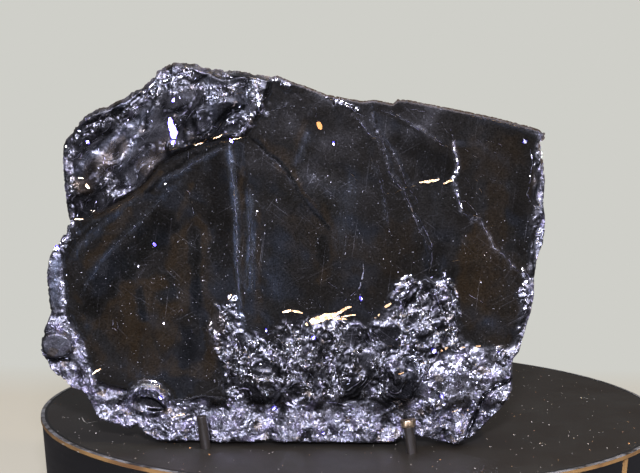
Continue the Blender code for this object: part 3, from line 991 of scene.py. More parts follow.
# Brown and near-black strokes on the mirror face: strength (dark is negative), half width and line. Along
# the slanting fold the near-black is painted shade in its crease.
BROWN_AND_DARK_STROKES = (
    (1.0, 7.0, ((-73, 33), (-68, 40), (-64, 42), (-59, 35), (-62, 24), (-68, 27))),
    (0.9, 2.4, ((-53, 53.5), (-51.2, 60), (-49.7, 62.1), (-49.8, 51), (-51, 42), (-56, 36))),
    (0.8, 1.7, ((-46.8, 66.6), (-43.6, 60), (-44.1, 45), (-42, 37))),
    (0.8, 1.6, ((-78.5, 53), (-71.7, 61.9), (-67, 68))),
    (0.8, 0.7, ((-53.5, 65), (-51.5, 68), (-50, 71.8), (-48.2, 77))),
    (0.9, 2.4, ((-54, 22), (-50, 22), (-44.4, 20.8), (-41.8, 29), (-41.2, 37))),
    (0.7, 1.4, ((-81.2, 43), (-77.5, 37), (-74, 32))),
    (0.8, 0.8, ((-34, 81), (-33.6, 66.6), (-33.3, 53.4), (-33, 42))),
    (0.7, 0.8, ((-28.8, 68), (-28.8, 53.5), (-28.7, 36))),
    (0.7, 1.2, ((-10.3, 70), (-6.6, 63.5), (-6.9, 56.3), (-10.1, 48))),
    (0.6, 1.8, ((-26, 88), (-23, 86), (-20, 81))),
    (0.5, 0.8, ((-15.5, 95), (-17.5, 89), (-19.5, 83))),
    (0.8, 0.5, ((-28, 89.6), (-24.9, 86.9), (-20.9, 83.9), (-17, 77.2), (-11.9, 69.8))),
    (1.0, 4.0, ((30, 57), (33, 51), (34.5, 46))),
    (0.5, 5.5, ((35, 86), (42, 86), (47, 78))),
    (0.55, 4.0, ((44, 74), (40, 68), (43, 62))),
    (0.9, 5.0, ((36, 60), (39, 52), (37, 44))),
    (0.45, 4.5, ((45, 52), (44, 42), (41, 34))),
    (0.6, 3.0, ((29, 58), (33, 48), (34, 38))),
    (1.0, 1.0, ((-76.5, 67.3), (-71.5, 68.9), (-67.8, 71.2), (-64.2, 73.6), (-60.5, 76.6), (-57.6, 79.6))),
    (0.9, 3.0, ((-80, 76), (-75, 82), (-69, 87))),
    (0.5, 2.2, ((-62, 81), (-57, 87), (-48, 92), (-42, 93))),
    (0.4, 6.0, ((-16, 62), (4, 52), (12, 60))),
    (-0.8, 1.4, ((-63.3, 44), (-63, 37))),
    (-0.75, 4.0, ((-77.5, 40), (-74.1, 46.5), (-68.5, 52.5), (-60.6, 60), (-56.7, 64))),
    (-0.7, 1.7, ((-48, 62), (-47.4, 51.2), (-46.8, 40))),
    (-0.6, 1.8, ((-50, 34), (-48.5, 29), (-50.5, 23))),
    (-0.5, 1.5, ((-76, 32), (-72.5, 27), (-68.7, 22.5))),
    (-0.5, 1.4, ((-86, 55), (-80, 63), (-72, 66))),
    # painted shade in the slanting fold's crease
    (-0.9, 0.40, SLANTING_FOLD),
    (-0.8, 0.6, ((-62, 74), (-58.3, 76.2), (-54.6, 79.8), (-50.3, 83.5), (-45.9, 85.8), (-39, 88.2))),
    (-0.6, 1.3, ((-10, 61), (-9.5, 54))),
    (-0.5, 3.0, ((-41, 84), (-40, 70), (-40, 55))),
    (-0.5, 4.0, ((14, 92), (20, 86), (24, 80))),
    (-0.5, 4.5, ((26, 60), (24, 50))),
    (-0.35, 3.0, ((48, 80), (46, 70), (48, 60))),
    (-0.6, 5.0, ((-36, 100), (-44, 97), (-50, 95))),
)


def brown_and_dark(spots):
    """How brown the mirror is at each spot, or how black where the number is negative."""
    warm = np.zeros(len(spots))
    wander = swayed(spots, 7.0, 31)
    for strength, width, line in BROWN_AND_DARK_STROKES:
        reach = 0.28 * (0.5 + width) ** 0.6 + 0.05 * width**2
        distance = from_line(spots + reach * wander, line)[0]
        here = strength * ease(1.25 * width, 0.75 * width, distance)
        warm = np.maximum(warm, here) if strength > 0.0 else warm + here * (1.0 + warm)
    return np.clip(warm, -1.0, 1.0)


BACK_ROUNDING = 8.0


def back_surface(spots):
    """The back is a duller cleavage face with torn patches. It is never seen with the front."""
    edge = from_line(spots, OUTLINE, closed=True)[0]
    rise = rounded(edge / BACK_ROUNDING)
    patches = ease(0.15, 0.75, waves(spots, 30.0, 61)) * 0.8
    rough = np.clip(np.maximum(patches, ease(9.0, 3.0, edge)), 0.0, 1.0)
    level = 1.4 * waves(spots, 24.0, 62)
    chance = np.random.default_rng(63).random(len(spots))
    relief = waves(spots, 40.0, 64) * 0.5 + 0.5 * leaf_steps(level) - 0.8
    relief += rough * (0.8 * foil(spots, 8.0, 65) + 0.4 * foil(spots, 3.4, 68))
    forward = (BACK - BACK_SHOULDER) * rise + np.minimum(relief, 0.5) * ease(0.0, 1.4, edge)
    silver = rough * np.clip(0.30 + 0.35 * chance, 0.0, 1.0)
    even = np.ones(len(spots))
    none = np.zeros(len(spots))
    return forward, named_fields(silver, level, 0.5 * even, none, none, none, 0.6 * even, 0.5 * rough)


def scattered(outline, step, seed):
    """A jittered grid of spots over the outline."""
    rng = np.random.default_rng(seed)
    low, high = outline.min(axis=0), outline.max(axis=0)
    across = np.arange(low[0], high[0], step)
    up = np.arange(low[1], high[1], step)
    grid = np.stack(np.meshgrid(across, up), -1).reshape(-1, 2)
    return grid + rng.uniform(-0.36, 0.36, grid.shape) * step


def detail_at(spots, outline):
    """2 where the surface needs the finest mesh, 1 where it needs a middling one, 0 on the plain mirror."""
    edge = from_line(spots, outline, closed=True)[0]
    within = inside(spots, outline) & (edge > FRONT_MARGIN)
    spots = laid_out(spots)
    torn = (soft_zone(spots, CRUMPLED_FOOT, 1.5) > 0.05) | (edge < 3.6)
    found = np.where(torn, 2, 0)
    plain = np.flatnonzero(within & ~torn)
    creases = [line for *_, line in FOLDS + STEPS]
    near = np.min([from_line(spots[plain], line)[0] for line in creases], axis=0)
    middling = (soft_zone(spots[plain], FOLIATED_CORNER, 1.5) > 0.05) | (near < 2.0)
    found[plain[middling]] = 1
    return np.where(within, found, -1)


def sheet_over(outline, spots):
    """Triangles that join the outline's points and the spots inside it. The outline's points come first."""
    flat = np.vstack((outline, spots))
    corners = [Vector(point) for point in flat]
    made = geometry.delaunay_2d_cdt(corners, [], [list(range(len(outline)))], 1, 1e-5)
    return flat, np.array([face for face in made[2] if len(face) == 3])


def square_to(steps):
    """Unit vectors square to each step, on its left."""
    return np.stack((-steps[:, 1], steps[:, 0]), 1) / np.hypot(*steps.T)[:, None]


LOWEST = 0.35  # the torn foot ends this far above the laminate
NUDGE = 0.05  # a small move, which shows what side of the outline is inside


def ragged_outline():
    """The plate's outline at even steps, nibbled a little, and the way inwards at each of its points."""
    outline = resampled(OUTLINE, RIM_STEP, closed=True)
    inward = square_to(np.roll(outline, -1, axis=0) - np.roll(outline, 1, axis=0))
    if inside(outline + NUDGE * inward, outline).mean() < 0.5:
        inward = -inward
    nibbles = np.abs(np.random.default_rng(71).normal(0.0, 0.12, len(outline)))
    torn = 1.0 - ease(92.0, 97.0, outline[:, 1]) * (0.5 + 0.5 * ease(-30.0, -20.0, outline[:, 0]))
    nibbles += torn * 0.9 * np.clip(waves(outline, 2.6, 77) - 0.1, 0.0, 1.0)
    outline = outline + inward * nibbles[:, None]
    outline[:, 1] = np.maximum(outline[:, 1], LOWEST)
    return outline, inward


def rim_wall(outline, inward, start):
    """Rings of points from the front's edge to the back, and how silver they are. Each ring is a leaf's edge,
    set in by its own wandering amount."""
    rng = np.random.default_rng(75)
    count = len(outline)
    around = np.stack((np.arange(count) * RIM_STEP, np.zeros(count)), 1)
    rings, silver = [], []
    for ring in range(1, RIM_RINGS):
        part = ring / RIM_RINGS
        swing = waves(around, 11.0, 90 + ring) * 0.45 + waves(around, 3.0, 120 + ring) * 0.22
        setback = 0.45 + swing + rng.normal(0.0, 0.10, count) + (0.5 if ring % 3 == 0 else 0.0)
        setback = np.clip(setback, 0.0, 2.0) * math.sin(math.pi * part) ** 0.5
        place = outline + inward * setback[:, None]
        place[:, 1] = np.maximum(place[:, 1], LOWEST)
        depth = start + (BACK_SHOULDER - start) * part + 0.12 * waves(around, 5.0, 150 + ring)
        rings.append(np.stack((place[:, 0], depth, place[:, 1]), 1))
        silver.append(np.clip(0.40 + 0.35 * swing + 0.25 * rng.random(count), 0.1, 1.0))
    return rings, silver


FACET_SILVER = 0.25  # faces more silver than this are flat facets, the others are shaded smooth


def molybdenite_plate():
    """The closed plate: a front sheet, the rim wall and a back sheet, joined point to point."""
    outline, inward = ragged_outline()
    count = len(outline)
    layers = []
    for wanted, step in enumerate((COARSE_STEP, MIDDLE_STEP, FINE_STEP)):
        spots = scattered(outline, step, 72 + wanted)
        layers.append(spots[detail_at(spots, outline) == wanted])
    front_flat, front_faces = sheet_over(outline, np.vstack(layers))
    forward, front_fields = front_surface(front_flat)
    front = np.stack((front_flat[:, 0], FRONT_SHOULDER - forward, front_flat[:, 1]), 1)
    front_fields["warm"] = brown_and_dark(laid_out(front_flat))

    rear = scattered(outline, BACK_STEP, 76)
    rear = rear[inside(rear, outline) & (from_line(rear, outline, closed=True)[0] > BACK_MARGIN)]
    back_flat, back_faces = sheet_over(outline, rear)
    backward, back_fields = back_surface(back_flat)
    back = np.stack((back_flat[:, 0], BACK_SHOULDER + backward, back_flat[:, 1]), 1)
    back_fields["warm"] = 0.5 * brown_and_dark(back_flat)

    walls, wall_silver = rim_wall(outline, inward, front[:count, 1])
    wall_points = count * len(walls)
    fields = {}
    for name, in_front in front_fields.items():
        on_wall = np.concatenate(wall_silver) if name == "silver" else np.zeros(wall_points)
        fields[name] = np.concatenate((in_front, on_wall, back_fields[name]))

    first_wall = len(front)
    first_back = first_wall + wall_points
    points = np.vstack((front, *walls, back)) + (0.0, 0.0, TOP_MM)
    behind_rim = np.clip(points[:, 1] - TOP_EDGE, 0.0, None)
    points[:, 2] -= TOP_LEAN * behind_rim * ease(60.0, 100.0, points[:, 2] - TOP_MM)
    rings = [np.arange(count)]
    rings += [first_wall + k * count + np.arange(count) for k in range(len(walls))]
    rings += [first_back + np.arange(count)]
    faces = [tuple(face) for face in front_faces]
    faces += [tuple(face[::-1] + first_back) for face in back_faces]
    for before, behind in zip(rings, rings[1:]):
        after = np.roll(before, -1), np.roll(behind, -1)
        faces += list(zip(before, behind, after[1], after[0]))
    piece = piece_from("molybdenite_plate", points * MM, faces)
    turn_outward(piece, split=True)

    for name, values in fields.items():
        layer = piece.data.attributes.new(name, "FLOAT", "POINT")
        layer.data.foreach_set("value", values.astype(np.float32))
    torn = np.maximum(fields["silver"], fields["dull"])
    corners = np.empty(len(piece.data.polygons) * 3, np.int32)
    piece.data.polygons.foreach_get("vertices", corners)
    facet = torn[corners.reshape(-1, 3)].mean(axis=1) > FACET_SILVER
    piece.data.polygons.foreach_set("use_smooth", ~facet)
    return piece


MIRROR_BLACK = (0.145, 0.145, 0.153, 1.0)
MIRROR_DARKEST = (0.05, 0.052, 0.055, 1.0)
# painted sheen: the blue that the sheen bands mix into the mirror
PAINTED_SHEEN_BLUE = (0.38, 0.45, 0.60, 1.0)
MIRROR_BROWN = (0.245, 0.193, 0.142, 1.0)
SILVER_COOL = (0.37, 0.385, 0.45, 1.0)
SILVER_WHITE = (0.44, 0.44, 0.50, 1.0)
SILVER_VIOLET = (0.35, 0.325, 0.46, 1.0)
SILVER_TAN = (0.42, 0.35, 0.28, 1.0)
LEAD_DARK = (0.13, 0.13, 0.15, 1.0)
SCRATCH_WHITE = (0.58, 0.58, 0.65, 1.0)
EDGE_BROWN = (0.040, 0.029, 0.020, 1.0)


# Scratches: the direction they run in, how closely they lie and their brightness.
HAIRLINES = (
    (0.5, 45.0, 0.20),
    (-0.75, 60.0, 0.16),
    (1.45, 40.0, 0.20),
    (2.5, 80.0, 0.16),
    (0.1, 70.0, 0.13),
    (1.0, 90.0, 0.15),
)


def hairlines(add):
    """Criss-cross scratches from 5 to 30 mm long, as a brightness from 0 up."""
    total = None
    for turn, pitch, strength in HAIRLINES:
        along = object_coords(add, (pitch, 1.0, 2400.0), (0.0, turn, 0.0))
        streak = noise(add, along, 1.0, 1.5, Distortion=0.25)
        line = ramp(add, streak, (0.67, 0.0), (0.75, strength))
        total = line if total is None else mixed(add, 1.0, total, line, "ADD")
    return total


def patch_picks(add, scale):
    """Random values, each the same all over one small patch."""
    cells = add("ShaderNodeTexVoronoi", Vector=object_coords(add), Scale=scale)
    return add("ShaderNodeSeparateColor", Color=cells.outputs["Color"]).outputs


TORN_TINTS = (
    (0.0, SILVER_TAN),
    (0.07, LEAD_DARK),
    (0.20, SILVER_COOL),
    (0.50, SILVER_WHITE),
    (0.75, SILVER_VIOLET),
    (0.88, SILVER_COOL),
)
FACET_SCALES = (2100.0, 4200.0)
FACET_LEAN = 0.52
DUST_LOW, DUST_HIGH = 0.075, 0.125  # dust and scratches thin out between these heights above the ground


def molybdenite():
    """Metal throughout. The mirror face is dark with brown swirls, hairline scratches and dust. Torn leaves
    are silver, and thin bright lines run along their edges."""
    add, finished = new_material("molybdenite")
    coords = object_coords(add)

    def field(name):
        return add("ShaderNodeAttribute", {"attribute_name": name}).outputs["Fac"]

    # the mirror: brown swirls with darker streaks between, and bands of painted bluish sheen elsewhere
    swirl = noise(add, object_coords(add, (1.0, 1.0, 0.5)), 130.0, 8.0, Distortion=1.6)
    brown = ramp(add, swirl, (0.34, 0.35), (0.56, 1.0))
    warm = math_of(add, "MULTIPLY", brown, math_of(add, "MAXIMUM", field("warm"), 0.0))
    # darker streaks: near-black strokes; along the slanting fold this is painted shade in the crease
    black = math_of(add, "MAXIMUM", math_of(add, "MULTIPLY", field("warm"), -1.0), 0.0)
    # painted bluish sheen: faint random bands all over, stronger along the sheen bands
    bands = noise(add, object_coords(add, (1.0, 1.0, 0.35)), 95.0, 4.0, Distortion=0.8)
    brushed = noise(add, object_coords(add, (1.0, 1.0, 0.22)), 1400.0, 3.0)
    brush = ramp(add, brushed, (0.35, 0.45), (0.62, 1.25))
    sheen = math_of(add, "MULTIPLY", field("cool"), brush)
    cool = math_of(add, "MAXIMUM", ramp(add, bands, (0.50, 0.0), (0.80, 0.2)), sheen)
    face = mixed(add, warm, MIRROR_BLACK, MIRROR_BROWN)
    face = mixed(add, black, face, MIRROR_DARKEST)
    face = mixed(add, cool, face, PAINTED_SHEEN_BLUE)

    grain = noise(add, coords, 2600.0, 2.0)
    speckled = ramp(add, grain, (0.28, 0.50), (0.50, 0.95), (0.72, 1.4))
    face = mixed(add, 1.0, face, speckled, "MULTIPLY")
    dim = math_of(add, "SUBTRACT", 0.93, math_of(add, "MULTIPLY", field("sparkle"), 0.48))
    face = mixed(add, math_of(add, "MULTIPLY", field("satin"), dim), face, grey(0.0))

    # leaf edges: where the level comes up to a whole number, broken into beads
    part = math_of(add, "FRACT", field("level"))
    line = ramp(add, part, (0.80, 0.0), (0.93, 1.0), (0.97, 1.0), (1.0, 0.0))
    broken = ramp(add, noise(add, coords, 620.0, 2.0), (0.44, 0.0), (0.60, 1.0))
    line = math_of(add, "MULTIPLY", math_of(add, "MULTIPLY", line, broken), field("edges"))
    silver = math_of(add, "MAXIMUM", field("silver"), line)

    # torn leaves, each with its own tint, then the scratches and dust on all of it and the brown top edge
    pick = patch_picks(add, 420.0)
    torn = mixed(add, silver, face, ramp(add, pick[0], *TORN_TINTS))
    dots = ramp(add, noise(add, coords, 1900.0, 1.0), (0.48, 0.0), (0.66, 0.035), (0.74, 0.20), (0.81, 0.7))
    marks = mixed(add, 1.0, hairlines(add), dots, "ADD")
    left = math_of(add, "SUBTRACT", 1.0, math_of(add, "MULTIPLY", field("satin"), 0.7))
    height = height_of(add, coords)
    settled = add("ShaderNodeMapRange", i0=height, i1=DUST_LOW, i2=DUST_HIGH, i3=1.25, i4=0.4).outputs[0]
    marks = math_of(add, "MULTIPLY", marks, math_of(add, "MULTIPLY", left, settled))
    marked = mixed(add, marks, torn, SCRATCH_WHITE)
    bare_metal = math_of(add, "SUBTRACT", 1.0, field("dull"))

    smear = noise(add, coords, 120.0, 4.0)
    satin_rough = mixed(add, field("sparkle"), grey(0.36), grey(0.24))
    rough = mixed(add, field("satin"), ramp(add, smear, (0.3, 0.07), (0.7, 0.11)), satin_rough)
    rough = mixed(add, silver, rough, ramp(add, pick[1], (0.0, 0.48), (1.0, 0.76)))
    rough = mixed(add, marks, rough, grey(0.5))
    rough = mixed(add, math_of(add, "POWER", field("dull"), 4.0), rough, grey(0.6))

    # small facets lean their own way where the leaves are torn, and a faint ripple runs over the rest
    normal = add("ShaderNodeNewGeometry").outputs["Normal"]
    reach = math_of(add, "MULTIPLY", math_of(add, "MAXIMUM", silver, field("sparkle")), FACET_LEAN)
    for scale in FACET_SCALES:
        cells = add("ShaderNodeTexVoronoi", Vector=coords, Scale=scale).outputs["Color"]
        push = add("ShaderNodeVectorMath", {"operation": "SUBTRACT"}, i0=cells, i1=(0.5, 0.5, 0.5))
        scaled = add("ShaderNodeVectorMath", {"operation": "SCALE"}, i0=push.outputs[0], Scale=reach)
        normal = add("ShaderNodeVectorMath", {"operation": "ADD"}, i0=normal, i1=scaled.outputs[0]).outputs[0]
    normal = add("ShaderNodeVectorMath", {"operation": "NORMALIZE"}, i0=normal).outputs[0]
    ripple = noise(add, object_coords(add, (1.0, 1.0, 0.3)), 260.0, 3.0)
    return finished({
        "Base Color": mixed(add, field("dull"), marked, EDGE_BROWN),
        "Metallic": bare_metal,
        "Specular IOR Level": math_of(add, "MULTIPLY", 0.5, bare_metal),
        "Roughness": rough,
        "Normal": bumped(add, ripple, 0.12, 0.2 * MM, Normal=normal),
    })


plate = molybdenite_plate()
plate.data.materials.append(molybdenite())
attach(plate, "root")
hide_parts("molybdenite_slab")


# ---------------------------------------------------------------------------------------------------------
# The torn leaves. Loose edges of the same mineral stand up all over the crumpled foot and the rims: thin
# six-sided scraps, still attached at one side, each bent its own way so that it catches its own light.

LEAF_SCATTER = {
    "Per square metre": 1.7e6,
    "Smallest radius": 0.00020,
    "Largest radius": 0.00060,
    "Thickness": 0.00008,
    "Tilt": math.radians(32.0),
    "Seed": 5,
}
LEAF_SILVER = (0.46, 0.47, 0.56, 1.0)
LEAF_VIOLET = (0.38, 0.36, 0.56, 1.0)
# a few torn leaves are painted gold, a warm highlight colour
LEAF_GOLD_HIGHLIGHT = (0.66, 0.50, 0.32, 1.0)
LEAF_TINTS = ((0.0, LEAF_GOLD_HIGHLIGHT), (0.05, LEAF_SILVER), (0.55, LEAF_VIOLET), (0.8, LEAF_SILVER))


def scatter_tree(name):
    """Geometry Nodes: thin plates laid over a surface, thick where its "leafy" field is high."""
    tree = bpy.data.node_groups.new(name, "GeometryNodeTree")
    tree.is_modifier = True
    for label, way, kind in (
        ("Geometry", "INPUT", "Geometry"),
        ("Geometry", "OUTPUT", "Geometry"),
        ("Per square metre", "INPUT", "Float"),
        ("Smallest radius", "INPUT", "Float"),
        ("Largest radius", "INPUT", "Float"),
        ("Thickness", "INPUT", "Float"),
        ("Tilt", "INPUT", "Float"),
        ("Seed", "INPUT", "Int"),
        ("Material", "INPUT", "Material"),
    ):
        tree.interface.new_socket(label, in_out=way, socket_type=f"NodeSocket{kind}")
    add = node_maker(tree)

    def joined(x, y, z):
        return add("ShaderNodeCombineXYZ", X=x, Y=y, Z=z).outputs[0]

    def random_between(least, most, seed):
        kind = {"data_type": "FLOAT_VECTOR"}
        return add("FunctionNodeRandomValue", kind, i0=least, i1=most, Seed=seed).outputs[0]

    given = add("NodeGroupInput").outputs
    smallest, thickness, tilt = given["Smallest radius"], given["Thickness"], given["Tilt"]
    leafy = add("GeometryNodeInputNamedAttribute", {"data_type": "FLOAT"}, Name="leafy").outputs["Attribute"]
    density = math_of(add, "MULTIPLY", leafy, given["Per square metre"])
    surface = given["Geometry"]
    spread = add("GeometryNodeDistributePointsOnFaces", Mesh=surface, Density=density, Seed=given["Seed"])
    plate = add("GeometryNodeMeshCylinder", Vertices=6, Radius=1.0, Depth=1.0)
    largest_plate = joined(given["Largest radius"], smallest, thickness)
    size = random_between(joined(smallest, smallest, thickness), largest_plate, 3)
    back = math_of(add, "MULTIPLY", tilt, -1.0)
    lean = random_between(joined(back, back, 0.0), joined(tilt, tilt, 2.0 * math.pi), 7)
    euler = add("FunctionNodeEulerToRotation", i0=lean).outputs[0]
    own = {"rotation_space": "LOCAL"}
    turned = add("FunctionNodeRotateRotation", own, i0=spread.outputs["Rotation"], i1=euler)
    placed = add(
        "GeometryNodeInstanceOnPoints",
        Points=spread.outputs["Points"],
        Instance=plate.outputs["Mesh"],
        Rotation=turned.outputs[0],
        Scale=size,
    )
    real = add("GeometryNodeRealizeInstances", Geometry=placed.outputs[0])
    done = add("GeometryNodeSetMaterial", Geometry=real.outputs[0], Material=given["Material"])
    add("NodeGroupOutput", i0=done.outputs[0])
    return tree


def scatter_over(name, surface, tree, settings, material):
    """A plain mesh of the plates that the tree lays over the surface."""
    carrier = bpy.data.objects.new(name, surface.data.copy())
    bpy.context.scene.collection.objects.link(carrier)
    modifier = carrier.modifiers.new("scatter", "NODES")
    modifier.node_group = tree
    inputs = {**settings, "Material": material}
    for item in tree.interface.items_tree:
        if item.in_out == "INPUT" and item.name in inputs:
            modifier[item.identifier] = inputs[item.name]
    bpy.context.view_layer.update()
    made = carrier.evaluated_get(bpy.context.evaluated_depsgraph_get())
    mesh = bpy.data.meshes.new_from_object(made)
    mesh.name = name
    carrier.modifiers.remove(modifier)
    carrier.data = mesh
    for field in ("silver", "level", "edges", "cool", "leafy", "dull", "satin", "sparkle", "warm"):
        if field in mesh.attributes:
            mesh.attributes.remove(mesh.attributes[field])
    mesh.polygons.foreach_set("use_smooth", np.zeros(len(mesh.polygons), bool))
    return carrier


def tinted_metal(name, tints, low, high, scale=1100.0):
    """Bright metal, tinted patch by patch, with a roughness between low and high."""
    add, finished = new_material(name)
    pick = patch_picks(add, scale)
    rough = ramp(add, pick[1], (0.0, low), (1.0, high))
    return finished({"Base Color": ramp(add, pick[0], *tints), "Roughness": rough, "Metallic": 1.0})


torn_leaf = tinted_metal("torn leaf", LEAF_TINTS, 0.36, 0.66, 500.0)
scatter = scatter_tree("scattered plates")
scraps = scatter_over("torn_leaves", plate, scatter, LEAF_SCATTER, torn_leaf)
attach(scraps, "root")


# ---------------------------------------------------------------------------------------------------------
# Leaf edges. Where a leaf ends or is folded over, its edge shows as a thin broken line of glints. Each line
# is a run of slivers of the same metal, a few tenths of a millimetre wide, standing on the plate. Some are
# painted gold as a warm highlight, and violet rings under the broader glints are painted halos.

SLIVER_STEP = 0.30
TO_THE_LIGHT = (-0.087, -0.145)  # slopes of a leaf that faces half way between the lens and the flash
RAY_START = FACE * MM - 0.02  # rays towards the plate start this far forward
STRAIGHT_BACK = Vector((0.0, 1.0, 0.0))
LEAST_DEPTH = FACE + 0.03  # slivers stay behind this depth, inside the plate's box
plate_tree = BVHTree.FromObject(plate, bpy.context.evaluated_depsgraph_get())


def plate_depth(spots):
    """How deep the plate's front lies at each spot across it, in millimetres."""
    depths = np.full(len(spots), FRONT_SHOULDER)
    for number, (across, up) in enumerate(spots):
        start = Vector((across * MM, RAY_START, (up + TOP_MM) * MM))
        hit = plate_tree.ray_cast(start, STRAIGHT_BACK)[0]
        if hit is not None:
            depths[number] = min(hit.y / MM, FRONT_SHOULDER)
    return depths


def tube_faces(first, rings, sides):
    """The faces of a closed tube of points, ring after ring from the first point on."""
    last = first + (rings - 1) * sides
    faces = []
    for here in range(first, last, sides):
        for side in range(sides):
            after = (side + 1) % sides
            faces.append((here + side, here + after, here + sides + after, here + sides + side))
    return faces + [tuple(range(first, first + sides))[::-1], tuple(range(last, last + sides))]


def slivers(name, rows, material, seed, aimed=False, wider=0.0, lift=0.25):
    """Closed slivers along lines on the plate's front. Each row has its half width, how often it is broken
    and its line. Aimed ones are flat leaves turned to the light; the rest are tiny ridges."""
    rng = np.random.default_rng(seed)
    points, faces = [], []
    for half_width, gaps, line in rows:
        spots = resampled(drawn_in(line, MIRROR), SLIVER_STEP)
        count = len(spots)
        side = square_to(np.gradient(spots, axis=0))
        run = np.stack((np.arange(count) * SLIVER_STEP + 50.0 * rng.random(), np.zeros(count)), 1)
        spots = spots + side * (0.16 * waves(run, 2.6, seed + 1))[:, None]
        rough = rng.uniform(0.85, 1.1, count) if aimed else rng.uniform(0.45, 1.15, count)
        wide = (half_width + wider) * rough * np.sin(np.linspace(0.2, math.pi - 0.2, count)) ** 0.6
        sideways = np.stack((wide, wide * rng.uniform(-0.5, 0.5, count), -wide, np.zeros(count)))
        ring = spots[None] + side[None] * sideways[..., None]
        under = plate_depth(spots)
        if aimed:
            away = ring - spots.mean(axis=0)
            rise = lift + 0.12 * half_width + away @ TO_THE_LIGHT + rng.normal(0.0, 0.008, ring.shape[:2])
            depth = under.min() - np.maximum(rise - (away @ TO_THE_LIGHT).min() * 0.6, 0.08)
            depth[3] = under + 0.10
        else:
            crest = (0.03 + 0.35 * half_width) * rng.uniform(0.3, 1.5, count)
            foot = np.full(count, 0.05)
            depth = under + np.stack((foot, -crest, foot, np.full(count, 0.30)))
        shown = waves(run, 2.0, seed + 2) > 2.0 * gaps - 1.0
        edges = np.flatnonzero(np.diff(np.concatenate(([False], shown, [False])).astype(int)))
        for start, end in edges.reshape(-1, 2):
            if end - start < 2:
                continue
            faces += tube_faces(len(points), end - start, 4)
            for k in range(start, end):
                for corner in range(4):
                    across, up = ring[corner, k]
                    points.append((across, max(depth[corner, k], LEAST_DEPTH), up + TOP_MM))
    piece = piece_from(name, np.array(points) * MM, faces, (material,), smooth=False)
    turn_outward(piece)
    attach(piece, "root")
    return piece


def strewn(zone, count, angle, spread, reach, half_width, seed):
    """Rows of short lines, strewn in patches over a zone, each turned near the given angle in degrees."""
    rng = np.random.default_rng(seed)
    spots = rng.uniform(np.min(zone, axis=0), np.max(zone, axis=0), (9 * count, 2))
    kept = inside(spots, zone) & inside(spots, PLATE_OUTLINE)
    kept &= from_line(spots, PLATE_OUTLINE, closed=True)[0] > 0.9
    kept &= waves(spots, 9.0, seed + 1) > rng.uniform(-0.5, 0.6, len(spots))
    rows = []
    for spot in spots[kept][:count]:
        turn = math.radians(angle + spread * rng.normal())
        step = np.array((math.cos(turn), math.sin(turn))) * 0.5 * rng.uniform(*reach)
        bend = np.array((-step[1], step[0])) * rng.uniform(-0.4, 0.4)
        rows.append((rng.uniform(*half_width), 0.1, (spot - step, spot + bend, spot + step)))
    return rows


